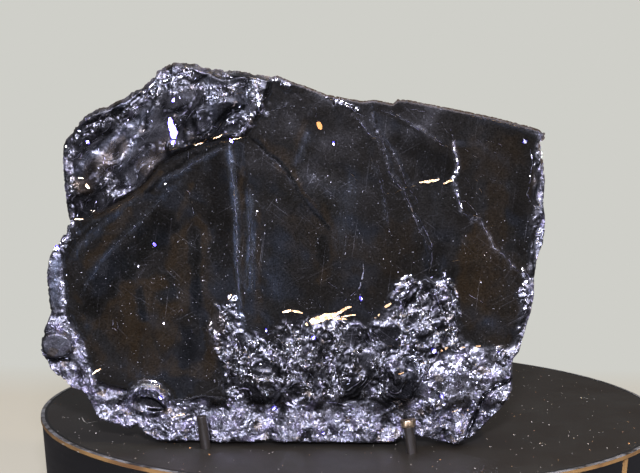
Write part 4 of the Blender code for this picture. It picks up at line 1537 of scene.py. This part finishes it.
SILVER_LINES = (
    # the double fold right of the middle, strand by strand
    (0.12, 0.3, ((4, 100.2), (4.4, 96.7), (5.1, 93.3), (6.2, 91.2), (7.6, 88.4), (8.7, 84.3), (9.4, 80.8),
        (11.2, 77.3), (13.6, 75.3), (15.1, 71.8), (16.5, 68.3), (18, 64.1), (20.5, 59.9), (22.3, 57.1))),
    (0.10, 0.3, ((6.1, 91.5), (8.9, 89.5), (10.4, 86.4), (12.1, 82.9), (13.2, 80.1), (14, 77.4), (16.1, 74.6),
        (17.6, 72.5), (17.9, 69.7), (17.2, 68.3))),
    (0.10, 0.4, ((-0.1, 96.7), (1.3, 93.9), (3.4, 91.5), (5.8, 89.5), (7.6, 86.4), (8.3, 82.9), (9.8, 79.4),
        (11.9, 76.6))),
    (0.13, 0.25, ((17.7, 68.3), (19, 65.5), (20.4, 62.7), (21.9, 59.9), (22.3, 56.4), (22, 52.9),
        (21.3, 50.7))),
    (0.08, 0.3, ((14.3, 74.6), (15.8, 70.4), (16.9, 66.9), (18.3, 63.4))),
    (0.06, 0.3, ((5.5, 84.3), (7.7, 76.6), (8.9, 68.2), (10, 61.9))),
    (0.06, 0.35, BESIDE_DOUBLE_FOLD),
    # the folds that fan out at the top right
    (0.09, 0.35, FAN_FOLD),
    (0.08, 0.35, LOWER_FAN_FOLD),
    (0.08, 0.4, ((13, 99.5), (19.9, 97.9), (25.5, 93.1), (28.3, 90))),
    (0.07, 0.45, ((8, 98.5), (13, 96.2), (19, 93), (24, 89.6))),
    (0.10, 0.3, ((-8.6, 101.8), (-5.4, 100.9), (-1.5, 98.6), (2.4, 96.1))),
    (0.10, 0.35, ((-2.8, 98), (0.5, 95.4), (3.1, 91.6), (7, 89.7))),
    (0.09, 0.5, ((-26, 98), (-20, 99.5), (-12, 99))),
    # the beaded step, its shelf and the right rim
    (0.34, 0.28, ((26.9, 93.1), *BEADED_STEP[1:9])),
    (0.18, 0.2, BEADED_STEP[8:]),
    (0.10, 0.3, ((29.7, 72.6), (32.1, 71.9), (34.3, 69.8), (36.1, 67))),
    (0.08, 0.4, ((30.5, 88), (33, 86), (36, 84.5))),
    (0.16, 0.2, ((50.2, 88.1), (51, 83.9), (50.4, 78.3), (49.8, 74.1), (50.9, 71.4), (53.4, 70), (54.2, 65.8),
        (54, 60.2))),
    (0.22, 0.2, ((52.5, 93.3), (53.7, 88.8), (54.1, 83.9), (54, 79.8), (53.4, 75.6))),
    (0.30, 0.2, ((49.6, 51.7), (51.1, 48.9), (51.9, 44.6), (50.5, 41.8), (49.6, 38.9))),
    # the long upright fold and the lines beside it
    (0.15, 0.15, (*UPRIGHT_FOLD[1:], (-33.3, 37.6))),
    (0.07, 0.4, ((-35, 83.5), (-35.2, 78.3), (-35.3, 73.1))),
    (0.10, 0.4, ((-31.6, 68), (-31.5, 57), (-31.6, 46))),
    (0.09, 0.45, ((-30.4, 66), (-30.5, 52), (-30.8, 42))),
    (0.08, 0.4, ((-12.2, 99.2), (-12.1, 96.6), (-11.5, 94.4))),
    # bead chains and short curls above the cluster
    (0.28, 0.3, ((2.2, 53.7), (1.9, 49.8), (0.7, 45.8), (1.3, 43.2))),
    (0.10, 0.4, ((-4.2, 41.8), (-1.6, 43.8), (0.3, 45.8))),
    (0.08, 0.3, ((-16.3, 41.4), (-13.4, 42.7), (-11.4, 41.7), (-9.7, 39.4))),
    (0.07, 0.3, ((-8.8, 48.4), (-6.9, 46.7), (-4.9, 46.1))),
    (0.15, 0.3, ((-50.3, 75.5), (-48.8, 73.3), (-47.7, 67.4))),
    (0.07, 0.3, ((-49.5, 86.5), (-49.2, 82.1))),
    # the foliated corner
    (0.30, 0.2, ((-29.9, 104.8), (-28.8, 102.6), (-28.6, 100.4), (-28.8, 97.9))),
    (0.20, 0.3, ((-32.1, 100.4), (-31.4, 98.2), (-30.6, 96.8), (-33, 93), (-36, 90))),
    (0.22, 0.3, ((-61.8, 102.3), (-59.7, 105.3), (-57.5, 107.4), (-53.1, 108.6), (-48.8, 108.9))),
    (0.20, 0.3, ((-61.1, 103.8), (-57.5, 104.9), (-53.1, 106.7), (-50.2, 107.9))),
    (0.16, 0.3, ((-85.2, 86.2), (-85.6, 81.8), (-85.3, 75.9), (-84.9, 72.3))),
    (0.10, 0.5, ((-71.4, 89.9), (-72.5, 83.4), (-72.9, 79), (-71.8, 73.1))),
    (0.09, 0.5, ((-74, 82), (-75, 77), (-73.5, 72))),
    (0.08, 0.5, CORNER_LEAF),
    (0.08, 0.5, OUTER_CORNER_LEAF),
    (0.08, 0.5, ((-82, 84), (-77, 89), (-70, 93.5), (-64, 98))),
    (0.08, 0.6, ((-45.9, 101), (-46.6, 95.2))),
    (0.08, 0.5, ((-32.8, 102.6), (-32.1, 93.9))),
    (0.09, 0.45, ((-56, 103.5), (-49, 105), (-41, 105.2), (-34, 105.4))),
    (0.08, 0.4, ((-56.8, 77.6), (-51.7, 79.9), (-47.4, 82.8), (-43, 85.1), (-38.6, 87.3))),
    (0.05, 0.4, ((-81.8, 42), (-75.3, 53.3), (-69.4, 59.9), (-63.5, 65.2), (-54.7, 74.7))),
    # columns and loops of the cluster
    (0.10, 0.3, ((-26, 33), (-23, 31), (-20, 28), (-17, 24), (-13, 20), (-9, 16), (-6, 13))),
    (0.10, 0.3, ((-30, 30), (-27, 27), (-22, 25), (-19, 22), (-15, 18))),
    (0.12, 0.3, ((-6.5, 30), (-7, 26), (-6, 22), (-5.5, 17), (-4, 12))),
    (0.10, 0.4, ((-37, 19), (-30, 19), (-24, 18), (-18, 18.5), (-12, 18))),
    (0.12, 0.3, ((4, 30), (4.5, 25), (7, 20), (8, 16))),
    (0.10, 0.3, ((8, 27), (11, 23), (12, 18))),
    (0.10, 0.4, ((-16, 13.5), (-12, 13.5), (-8, 12), (-2, 11), (4, 10))),
    (0.16, 0.2, ((-19, 33.5), (-18.6, 29.5), (-17.7, 26))),
    (0.15, 0.25, ((-40.7, 40.8), (-39.4, 37.3), (-37.7, 32), (-34.6, 26.7))),
    (0.15, 0.25, ((-36.4, 41.7), (-35.1, 37.3), (-35.9, 32.9), (-32.9, 25.9))),
    (0.15, 0.25, ((-43.3, 33.3), (-41.6, 30.2), (-40.7, 25.8), (-37.2, 22.3), (-37.6, 17.9))),
    (0.12, 0.2, ((-32.4, 26.8), (-32, 20.6))),
    (0.15, 0.2, ((11.6, 46.4), (12.1, 43.8), (13.9, 40.3), (13.5, 35.9), (14, 30.7), (14.9, 26.3))),
    (0.17, 0.25, ((18.1, 47.3), (20.7, 44.7), (23.3, 44.3), (24.2, 46.5), (25.8, 50), (28, 46.6),
        (28.1, 43.9), (29.5, 38.7), (28.7, 34.3), (30.5, 30.8))),
    (0.14, 0.3, ((23.3, 43.9), (26, 38.7), (27.8, 34.3), (26.1, 30.8))),
    (0.17, 0.25, ((19.3, 25.4), (20.2, 20.1), (22, 14.8), (23, 7.7), (28.3, 4.2), (32.7, 1.6))),
    (0.09, 0.35, ((-6.5, 38), (-5.1, 33.1), (-2.5, 28.8))),
    (0.09, 0.35, ((-9.5, 34), (-12.9, 30.4), (-11.2, 28.7))),
    (0.08, 0.35, ((0, 35.8), (6.2, 32.4), (9.6, 31.5))),
    (0.10, 0.35, ((32, 45.3), (35.5, 43.1), (38, 42))),
    (0.12, 0.3, ((46, 18), (42, 16.5), (38.5, 13.5), (37, 9))),
    (0.17, 0.3, ((-71.6, 36.2), (-71.8, 33.8), (-70.4, 33))),
    (0.12, 0.3, ((-70.6, 35.6), (-69.9, 34), (-70.4, 32.4))),
    # round the loop of folded leaf
    (0.15, 0.25, ((-66.5, 11), (-66.3, 13.6), (-64.5, 15.4), (-61.7, 16), (-58.9, 15.4), (-57, 13.6),
        (-56.7, 11.5))),
    (0.12, 0.3, ((-67.2, 12), (-66.6, 14.6), (-63.6, 16.4), (-59.6, 16.4))),
    (0.14, 0.3, ((-65.5, 9.5), (-63, 8.6), (-60, 8.4), (-57.5, 9.6))),
    # bluish streaks on the left rim's smooth leaf
    (0.16, 0.3, ((-88.9, 50.5), (-87.9, 47.5), (-86.9, 44), (-86.2, 41))),
    (0.12, 0.3, ((-88.2, 47), (-87.3, 43.5), (-86.6, 40))),
    (0.12, 0.3, ((-86.6, 52), (-86.2, 49), (-87, 46.5))),
    # dusty wisps at the upper right
    (0.04, 0.5, ((34, 91), (38, 87.5), (43, 85), (46, 81))),
    (0.04, 0.5, ((33, 84), (37, 79.5), (42, 77.5), (47, 74))),
    (0.04, 0.5, ((37, 90), (41, 89), (45, 86))),
    (0.05, 0.5, ((31, 80), (33, 77), (36, 73))),
    (0.12, 0.25, ((-53.4, 37.6), (-51.4, 39.4), (-50.6, 38.2))),
    (0.08, 0.3, ((-48.4, 33.4), (-47.8, 31.6))),
)
# Thin lines painted gold as warm highlights along leaf edges: half width, how often broken and line.
GOLD_HIGHLIGHT_LINES = (
    (0.10, 0.3, ((7.7, 73.8), (11.2, 74.5), (14.3, 76), (17.8, 76.7))),
    (0.15, 0.45, ((-58.3, 85.3), (-51.7, 87.2), (-45.9, 88.7), (-40.1, 90.9), (-35.7, 92))),
    (0.12, 0.45, ((-48.8, 86.8), (-43, 87.6), (-38.6, 88.7))),
    (0.14, 0.4, ((-43, 88.3), (-37.2, 89.1), (-32.1, 90.6))),
    (0.07, 0.55, ((-65.6, 86), (-60.5, 87), (-57.5, 87.9), (-50, 89.5), (-42, 91.5))),
    (0.07, 0.5, ((-62.7, 80.5), (-60.5, 80.5))),
    (0.08, 0.4, ((-43, 102.1), (-38.6, 102.7), (-31.4, 103.4))),
    (0.09, 0.2, ((12, 47.3), (14.6, 48), (18.1, 47.8))),
    (0.12, 0.4, ((-75.9, 67.6), (-71.5, 68.7), (-67.8, 71), (-64.2, 73.2))),
    (0.13, 0.5, ((34.1, 79.6), (35.5, 76.8), (36.3, 74.7))),
    (0.07, 0.2, ((38.5, 64.6), (40.6, 65))),
    (0.10, 0.4, ((31.5, 68.6), (34.5, 67.8), (36.2, 67.4))),
    (0.07, 0.3, ((26.5, 54.3), (30.3, 54.7))),
    (0.10, 0.3, ((31, 97.4), (38, 96), (45, 94.4), (51.4, 93))),
    (0.07, 0.3, ((-2.9, 81.1), (0, 77.9))),
    (0.07, 0.35, ((3.1, 89.9), (7.6, 91))),
    (0.10, 0.45, ((-66, 15.6), (-63, 16.6), (-59, 16.4), (-56, 15))),
    (0.10, 0.5, ((-90, 33.6), (-87, 32.6), (-84.5, 31.5))),
    (0.08, 0.5, ((5.8, 28.7), (13.1, 29.3), (20.1, 29.8))),
)
# Larger leaves that lie turned to the light, painted gold as warm highlights: half width and line.
GOLD_HIGHLIGHT_LEAVES = (
    (0.95, ((-14.6, 35.2), (-12.5, 36.6), (-8.6, 37.6), (-5.6, 38.4))),
    (0.40, ((-6.5, 38), (-3.5, 39.9), (-1.3, 40.7))), (0.22, ((-4.3, 37.5), (0, 38.3))),
    (0.25, ((-7.8, 37.1), (-2.6, 37))), (0.32, ((-21.6, 39), (-19.1, 39.3))),
    (0.28, ((-18.8, 39.3), (-15.6, 38.9))), (0.32, ((5.7, 37.2), (7.1, 38.5))),
    (0.38, ((8.2, 40.2), (10.4, 41.8))), (0.38, ((25.2, 27.6), (27.2, 28.8))),
    (0.25, ((31.2, 28.9), (32.3, 28.9))), (0.28, ((35.5, 29.2), (37, 29.3))),
    (0.36, ((18.1, 77.5), (24, 78.5))), (0.30, ((25.2, 77.3), (28.2, 78.2))),
    (0.34, ((-79.9, 76.5), (-78, 75.2))), (0.18, ((-81.3, 78.2), (-79.8, 77.9))),
    (0.16, ((-83.2, 65.9), (-80.1, 66.1))), (0.30, ((-77.8, 20.2), (-75.2, 21.6))),
    (0.14, ((-47.5, 88), (-45, 88.8))), (0.14, ((-42, 90), (-39.4, 90.8))),
    (0.12, ((-37, 89.6), (-34, 90.3))), (0.16, ((12.6, 21), (14.4, 21.2))),
    (0.30, ((-37.4, 42.6), (-36.8, 44.2))), (0.14, ((-54, 7), (-50.5, 8))), (0.16, ((29, 9), (30.8, 9.8))),
)
# Glints with a violet cast: the long flare in the foliated corner and single bright points. The broader ones
# also get a violet ring under them, a painted halo.
GLINTS = (
    (0.38, ((-54.6, 95.9), (-54.2, 93.8), (-53.8, 92))),
    (0.66, ((-54.0, 94.0), (-53.5, 91.8), (-53.2, 89.6))), (0.30, ((-53.3, 89.4), (-53.9, 88.2))),
    (0.42, ((-53.8, 101.1), (-53.2, 100.8))), (0.25, ((-81, 92), (-80.4, 92.2))),
    (0.30, ((-78.5, 88.4), (-78.1, 88.9))), (0.26, ((-84.6, 87), (-84.4, 87.6))),
    (0.24, ((-56.3, 76.3), (-55.9, 76.7))), (0.42, ((-37.1, 89), (-36.4, 89.3))),
    (0.34, ((-7.3, 88.6), (-6.7, 88.6))), (0.55, ((1, 43.1), (1.8, 43.3))),
    (0.22, ((-29.1, 68.6), (-28.9, 69))), (0.18, ((2.7, 80.8), (2.9, 81.2))),
    (0.42, ((48.5, 90.3), (48.9, 89.3))), (0.60, ((22.6, 27.4), (23.6, 28.2))),
    (0.36, ((42, 27.2), (42.6, 27.4))), (0.34, ((-26.6, 33.4), (-26.1, 33.5))),
    (0.28, ((-28.2, 23.4), (-27.8, 23.6))), (0.32, ((-59.6, 58.6), (-59, 59))),
    (0.16, ((-85.1, 49.2), (-84.9, 49.3))), (0.15, ((-80.7, 50.2), (-80.5, 50.3))),
    (0.22, ((-56.5, 35.9), (-56.3, 35.3))), (0.30, ((-12.8, 31.2), (-12, 31.9))),
    (0.15, ((37.5, 56.2), (37.7, 56.3))), (0.25, ((36.4, 48.3), (36.8, 48.5))),
    (0.34, ((-24.6, 9.6), (-23.4, 10.4))), (0.30, ((-9.5, 2.2), (-8.9, 2.6))),
    (0.30, ((25.4, 15), (26, 13.6))), (0.20, ((27.9, 88), (28.1, 87))), (0.24, ((28.8, 85.2), (29.1, 83.8))),
    (0.20, ((29.6, 82.3), (29.4, 81.3))), (0.22, ((28.1, 79.2), (28.1, 78.2))),
    (0.18, ((29.3, 74.4), (29.7, 73.4))), (0.18, ((30.3, 71.2), (30.7, 70))),
    (0.22, ((50.6, 86), (50.9, 84.6))), (0.24, ((53.8, 86.8), (54.1, 85.2))),
    (0.20, ((50.5, 80), (50.3, 78.8))), (0.26, ((51, 50), (51.3, 48.6))), (0.26, ((51.8, 46), (51.7, 44.6))),
    (0.20, ((50.2, 41.6), (49.8, 40.4))), (0.20, ((-29.2, 103), (-28.7, 101.8))),
    (0.26, ((-28.7, 100.6), (-28.7, 99.4))), (0.18, ((-31, 97.4), (-30.6, 96.6))),
    (0.22, ((-60.4, 104.6), (-59.4, 105.6))), (0.18, ((-56.4, 106.2), (-55.2, 106.8))),
    (0.18, ((-52, 107.6), (-50.8, 108))), (0.30, ((-57.7, 14), (-57.1, 13))),
    (0.26, ((-64, 52), (-63.8, 52.4))), (0.14, ((-45, 48), (-44.8, 48.2))),
    (0.5, ((-88.6, 57), (-87.4, 57.8))),
)
HALO_FROM = 0.29  # glints broader than this get a violet ring under them, a painted halo
RUST_SPOT = ((0.75, ((-11.9, 94.8), (-11.2, 93.8), (-10.5, 92.9))),)
RUST = (0.62, 0.25, 0.06, 1.0)
GOLD_HIGHLIGHT_TINTS = ((0.0, (0.30, 0.17, 0.08, 1.0)), (0.5, (0.50, 0.33, 0.17, 1.0)), (1.0, (0.78, 0.58, 0.34, 1.0)))
HALO_VIOLETS = ((0.0, (0.026, 0.019, 0.20, 1.0)), (1.0, (0.046, 0.036, 0.32, 1.0)))
WHITES = ((0.0, (0.80, 0.78, 1.0, 1.0)), (1.0, (0.95, 0.95, 1.0, 1.0)))
CLUSTER = ((-44, 12), (-44, 42), (-30, 34), (-4, 38), (8, 40), (12, 50), (30, 50), (32, 12))


def unbroken(rows):
    """Rows for slivers that have no gaps."""
    return [(half_width, 0.0, line) for half_width, line in rows]


# painted highlight: the gold stands in for warm lamp light caught by these slivers
gold_highlight = tinted_metal("golden leaf", GOLD_HIGHLIGHT_TINTS, 0.28, 0.45)
# painted halo: dark violet metal, set wider under the broad glints, rings them with violet
violet = tinted_metal("violet glint", HALO_VIOLETS, 0.24, 0.34)
white = tinted_metal("white glint", WHITES, 0.24, 0.32)
broad_glints = [row for row in GLINTS if row[0] > HALO_FROM]
leaf_ends = strewn(FOLIATED_CORNER, 200, 38.0, 30.0, (0.7, 2.6), (0.04, 0.09), 351)
leaf_ends += strewn(CLUSTER, 150, 80.0, 45.0, (0.6, 1.5), (0.04, 0.08), 361)
leaf_points = strewn(FOLIATED_CORNER, 50, 60.0, 40.0, (0.62, 0.8), (0.07, 0.12), 371)
leaf_points += strewn(CLUSTER, 40, 80.0, 40.0, (0.62, 0.8), (0.09, 0.16), 381)
slivers("leaf_edges", SILVER_LINES, torn_leaf, 301)
slivers("leaf_ends", leaf_ends, torn_leaf, 391)
slivers("leaf_points", leaf_points, torn_leaf, 401, aimed=True)
slivers("gold_highlight_edges", GOLD_HIGHLIGHT_LINES, gold_highlight, 311)
slivers("gold_highlight_leaves", unbroken(GOLD_HIGHLIGHT_LEAVES), gold_highlight, 321, aimed=True)
# painted halos under the broader glints
slivers("painted_glint_halos", unbroken(broad_glints), violet, 331, aimed=True, wider=0.42, lift=0.50)
slivers("glints", unbroken(GLINTS), white, 331, aimed=True, lift=0.84)
slivers("rust_spot", unbroken(RUST_SPOT), plain_look("rust", RUST, 0.7), 341, aimed=True)


# ---------------------------------------------------------------------------------------------------------
# Dust on the base. Crumbs of the mineral and rusty grit have fallen on the laminate, and two dry scratches
# cross it at the left.

GRIT_SCATTER = {
    "Per square metre": 16000.0,
    "Smallest radius": 0.00010,
    "Largest radius": 0.00024,
    "Thickness": 0.00010,
    "Tilt": 0.0,
    "Seed": 11,
}
GRIT_TINTS = (
    (0.0, (0.40, 0.24, 0.10, 1.0)),
    (0.2, (0.20, 0.09, 0.05, 1.0)),
    (0.4, (0.25, 0.25, 0.22, 1.0)),
    (0.85, (0.50, 0.46, 0.38, 1.0)),
)
DUSTED_RADII = (0.002, 0.098)
DUST_STEPS = 96
DUST_LIFT = 0.00008


def grit_look():
    """Rust, brown and grey grains."""
    add, finished = new_material("grit")
    return finished({"Base Color": ramp(add, patch_picks(add, 300.0)[0], *GRIT_TINTS), "Roughness": 0.6})


def dusted_ring():
    """A flat ring just over the base's top face, which the grit is laid on."""
    angles = np.arange(DUST_STEPS) * 2.0 * math.pi / DUST_STEPS
    height = TOP + DUST_LIFT
    points = [(radius * math.cos(a), radius * math.sin(a), height) for radius in DUSTED_RADII for a in angles]
    faces = []
    for k in range(DUST_STEPS):
        after = (k + 1) % DUST_STEPS
        faces.append((k, DUST_STEPS + k, DUST_STEPS + after, after))
    ring = piece_from("dusted_ring", points, faces)
    field = ring.data.attributes.new("leafy", "FLOAT", "POINT")
    field.data.foreach_set("value", np.ones(len(points), np.float32))
    return ring


dusted = dusted_ring()
grit = scatter_over("grit", dusted, scatter, GRIT_SCATTER, grit_look())
bpy.data.objects.remove(dusted, do_unlink=True)
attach(grit, "root")

# Larger crumbs lie where they fell: their places on the base in millimetres, and their radii.
CRUMBS = (
    (-77.9, -40.8, 0.30), (-70.2, -43.8, 0.28), (-66.1, -43.7, 0.22), (-56.0, -47.5, 0.24),
    (48.6, -38.5, 0.26), (55.1, -49.5, 0.26), (61.1, -24.7, 0.30), (56.2, -20.7, 0.22),
    (39.8, -54.0, 0.24), (69.4, -49.3, 0.28), (66.3, -41.8, 0.22), (33.1, -79.4, 0.28),
    (77.3, 16.7, 0.24), (-80.5, -30.2, 0.22),
)
RUSTY_CRUMBS = (
    (-53.2, -52.8, 0.30), (-48.2, -58.1, 0.28), (81.7, -48.3, 0.36), (-42.0, -66.0, 0.24),
    (24.0, -70.0, 0.22),
)
CRUMB_HEIGHT = 0.15
CRUMB_SIDES = 6
CRUMB_PALE = (0.42, 0.40, 0.34, 1.0)
CRUMB_RUST = (0.55, 0.28, 0.10, 1.0)
# Scratches: half width and line.
SCRATCHES = (
    (0.16, ((-85.3, -18.6), (-84.4, -22.4), (-83.4, -25.6), (-82.1, -27.6))),
    (0.14, ((-82.6, -27.4), (-81.0, -25.6), (-79.5, -24.0))),
    (0.30, ((-86.2, -54.0), (-85.4, -55.0))),
    (0.26, ((-80.5, -63.5), (-79.7, -64.5))),
    (0.07, ((77.3, 16.7), (78.9, 15.9), (80.0, 14.4))),
)
SCRATCH_HEIGHT = 0.03
SCRATCH_STEP = 0.5
SCRATCH_PALE = (0.34, 0.33, 0.29, 1.0)


def crumbs(name, places, color):
    """Small six-sided crumbs lying on the base."""
    points, faces = [], []
    for x, y, radius in places:
        faces += tube_faces(len(points), 2, CRUMB_SIDES)
        for height, share in ((0.0, 1.0), (CRUMB_HEIGHT, 0.6)):
            for corner in range(CRUMB_SIDES):
                reach = radius * share * (1.0 + 0.25 * math.sin(2.3 * corner + x))
                angle = corner * math.pi / 3.0 + y
                across, deep = x + reach * math.cos(angle), y + reach * math.sin(angle)
                points.append((across * MM, deep * MM, TOP + height * MM))
    piece = piece_from(name, points, faces, (plain_look(name, color, 0.6),), smooth=False)
    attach(piece, "root")


def scratches(name, rows, color):
    """Pale dry scratches in the laminate, each a burr a few hundredths of a millimetre high."""
    points, faces = [], []
    for half_width, line in rows:
        spots = resampled(line, SCRATCH_STEP)
        wide = half_width * np.sin(np.linspace(0.25, math.pi - 0.25, len(spots)))[:, None]
        aside = square_to(np.gradient(spots, axis=0)) * wide
        faces += tube_faces(len(points), len(spots), 3)
        for across_burr in zip(spots + aside, spots, spots - aside):
            for (x, y), height in zip(across_burr, (0.0, SCRATCH_HEIGHT, 0.0)):
                points.append((x * MM, y * MM, TOP + height * MM))
    piece = piece_from(name, points, faces, (plain_look(name, color, 0.55),), smooth=False)
    turn_outward(piece)
    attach(piece, "root")


crumbs("crumbs", CRUMBS, CRUMB_PALE)
crumbs("rusty_crumbs", RUSTY_CRUMBS, CRUMB_RUST)
scratches("base_scratches", SCRATCHES, SCRATCH_PALE)


# ---------------------------------------------------------------------------------------------------------
# The studio. A plain pale floor that runs on into a pale background, soft lights overhead and at the sides,
# a small flash above the lens and dim, patchy surroundings, which the mirror face shows in place of a room.

BACKGROUND = (0.624, 0.624, 0.584, 1.0)
FLOOR_CREAM = (0.64, 0.60, 0.51, 1.0)
FLOOR_GLOW_NEAR = 0.645  # how much of the floor's brightness is even, close to the base
CREAM_ENDS, BACKGROUND_STARTS = 0.15, 0.22  # distances behind the middle of the base
FLOOR_REACH = 6


def pale_floor():
    """Pale cream paint near the base. Further off it takes on the background's own even brightness."""
    add, finished = new_material("pale floor")
    place = add("ShaderNodeSeparateXYZ", Vector=add("ShaderNodeTexCoord").outputs["Object"]).outputs["Y"]
    far = add("ShaderNodeMapRange", i0=place, i1=CREAM_ENDS, i2=BACKGROUND_STARTS).outputs[0]
    color = mixed(add, far, FLOOR_CREAM, BACKGROUND)
    material = finished({"Base Color": color, "Roughness": 0.8, "Specular IOR Level": 0.2})
    nodes = material.node_tree.nodes
    glow = add("ShaderNodeEmission", Color=color, Strength=1.0)
    share = add("ShaderNodeMapRange", i0=far, i3=FLOOR_GLOW_NEAR).outputs[0]
    blend = add("ShaderNodeMixShader", i0=share, i1=nodes["Principled BSDF"].outputs[0], i2=glow.outputs[0])
    put(material.node_tree, blend.outputs[0], nodes["Material Output"].inputs["Surface"])
    return material


floor_corners = [(x * FLOOR_REACH, y * FLOOR_REACH, 0) for x, y in ((-1, -1), (1, -1), (1, 1), (-1, 1))]
floor = piece_from("floor", floor_corners, ((0, 1, 2, 3),), (pale_floor(),), smooth=False)
floor.visible_glossy = False

ROOM_OVERHEAD = 2.0  # the room's brightness straight up, against that at eye level
ROOM_PATCHES = (
    (0.30, (0.03, 0.03, 0.04, 1.0)),
    (0.42, (0.075, 0.065, 0.06, 1.0)),
    (0.50, (0.13, 0.115, 0.105, 1.0)),
    (0.58, (0.11, 0.115, 0.14, 1.0)),
    (0.70, (0.26, 0.27, 0.34, 1.0)),
)


def surroundings():
    """The background seen by the lens is pale. Everything else meets a dim room with brown, blue-grey and
    black patches, lighter overhead."""
    world = bpy.data.worlds.new("studio")
    world.use_nodes = True
    tree = world.node_tree
    add = node_maker(tree)
    seen = tree.nodes["Background"]
    seen.inputs["Color"].default_value = BACKGROUND
    direction = add("ShaderNodeTexCoord").outputs["Generated"]
    room = add("ShaderNodeValToRGB", Fac=noise(add, direction, 4.0, 3.0, Distortion=0.6))
    for position, color in ROOM_PATCHES:
        room.color_ramp.elements.new(position).color = color
    height = height_of(add, direction)
    lift = add("ShaderNodeMapRange", i0=height, i1=0.15, i2=0.9, i3=1.0, i4=ROOM_OVERHEAD).outputs[0]
    dim_room = add("ShaderNodeBackground", Color=room.outputs[0], Strength=lift)
    to_lens = add("ShaderNodeLightPath").outputs["Is Camera Ray"]
    choose = add("ShaderNodeMixShader", i0=to_lens, i1=dim_room.outputs[0], i2=seen.outputs[0])
    put(tree, choose.outputs[0], tree.nodes["World Output"].inputs["Surface"])
    return world


bpy.context.scene.world = surroundings()
bpy.context.scene.view_settings.view_transform = "Standard"

PLATE_MIDDLE = (-0.018, -0.05, 0.085)
COOL_WHITE = (0.97, 0.98, 1.0)
PALE_BLUE = (0.86, 0.88, 1.0)
FLASH_VIOLET = (0.83, 0.82, 1.0)
LAMP_YELLOW = (1.0, 0.74, 0.45)


def soft_light(name, place, size, power, color):
    """A rectangular light at a place, turned to face the plate."""
    light = bpy.data.lights.new(name, "AREA")
    light.shape = "RECTANGLE"
    light.size, light.size_y = size
    light.energy = power
    light.color = color
    lamp = bpy.data.objects.new(name, light)
    lamp.location = place
    lamp.rotation_euler = (Vector(PLATE_MIDDLE) - Vector(place)).to_track_quat("-Z", "Y").to_euler()
    bpy.context.scene.collection.objects.link(lamp)


soft_light("overhead softbox", (0.0, -0.15, 0.95), (0.7, 0.5), 3.0, COOL_WHITE)
soft_light("left softbox", (-0.85, -0.55, 0.45), (0.25, 0.4), 1.2, PALE_BLUE)
soft_light("right softbox", (0.80, -0.50, 0.40), (0.25, 0.4), 1.2, PALE_BLUE)
soft_light("flash", (-0.012, -0.545, 0.237), (0.045, 0.03), 5.0, FLASH_VIOLET)
soft_light("warm lamp", (0.25, -0.45, 0.62), (0.05, 0.04), 1.5, LAMP_YELLOW)

CAMERA_PLACE = (-0.01073, -0.54383, 0.14926)
CAMERA_PITCH = math.radians(6.67)
CAMERA_ROLL = math.radians(0.45)
LENS = 95.6  # millimetres, on a 36 mm wide sensor
camera = bpy.data.cameras.new("camera")
camera.lens = LENS
camera.sensor_width = 36.0
camera.clip_start = 0.01
viewer = bpy.data.objects.new("camera", camera)
viewer.matrix_world = (
    Matrix.Translation(CAMERA_PLACE)
    @ Matrix.Rotation(math.radians(90.0) - CAMERA_PITCH, 4, "X")
    @ Matrix.Rotation(CAMERA_ROLL, 4, "Z")
)
bpy.context.scene.collection.objects.link(viewer)
bpy.context.scene.camera = viewer
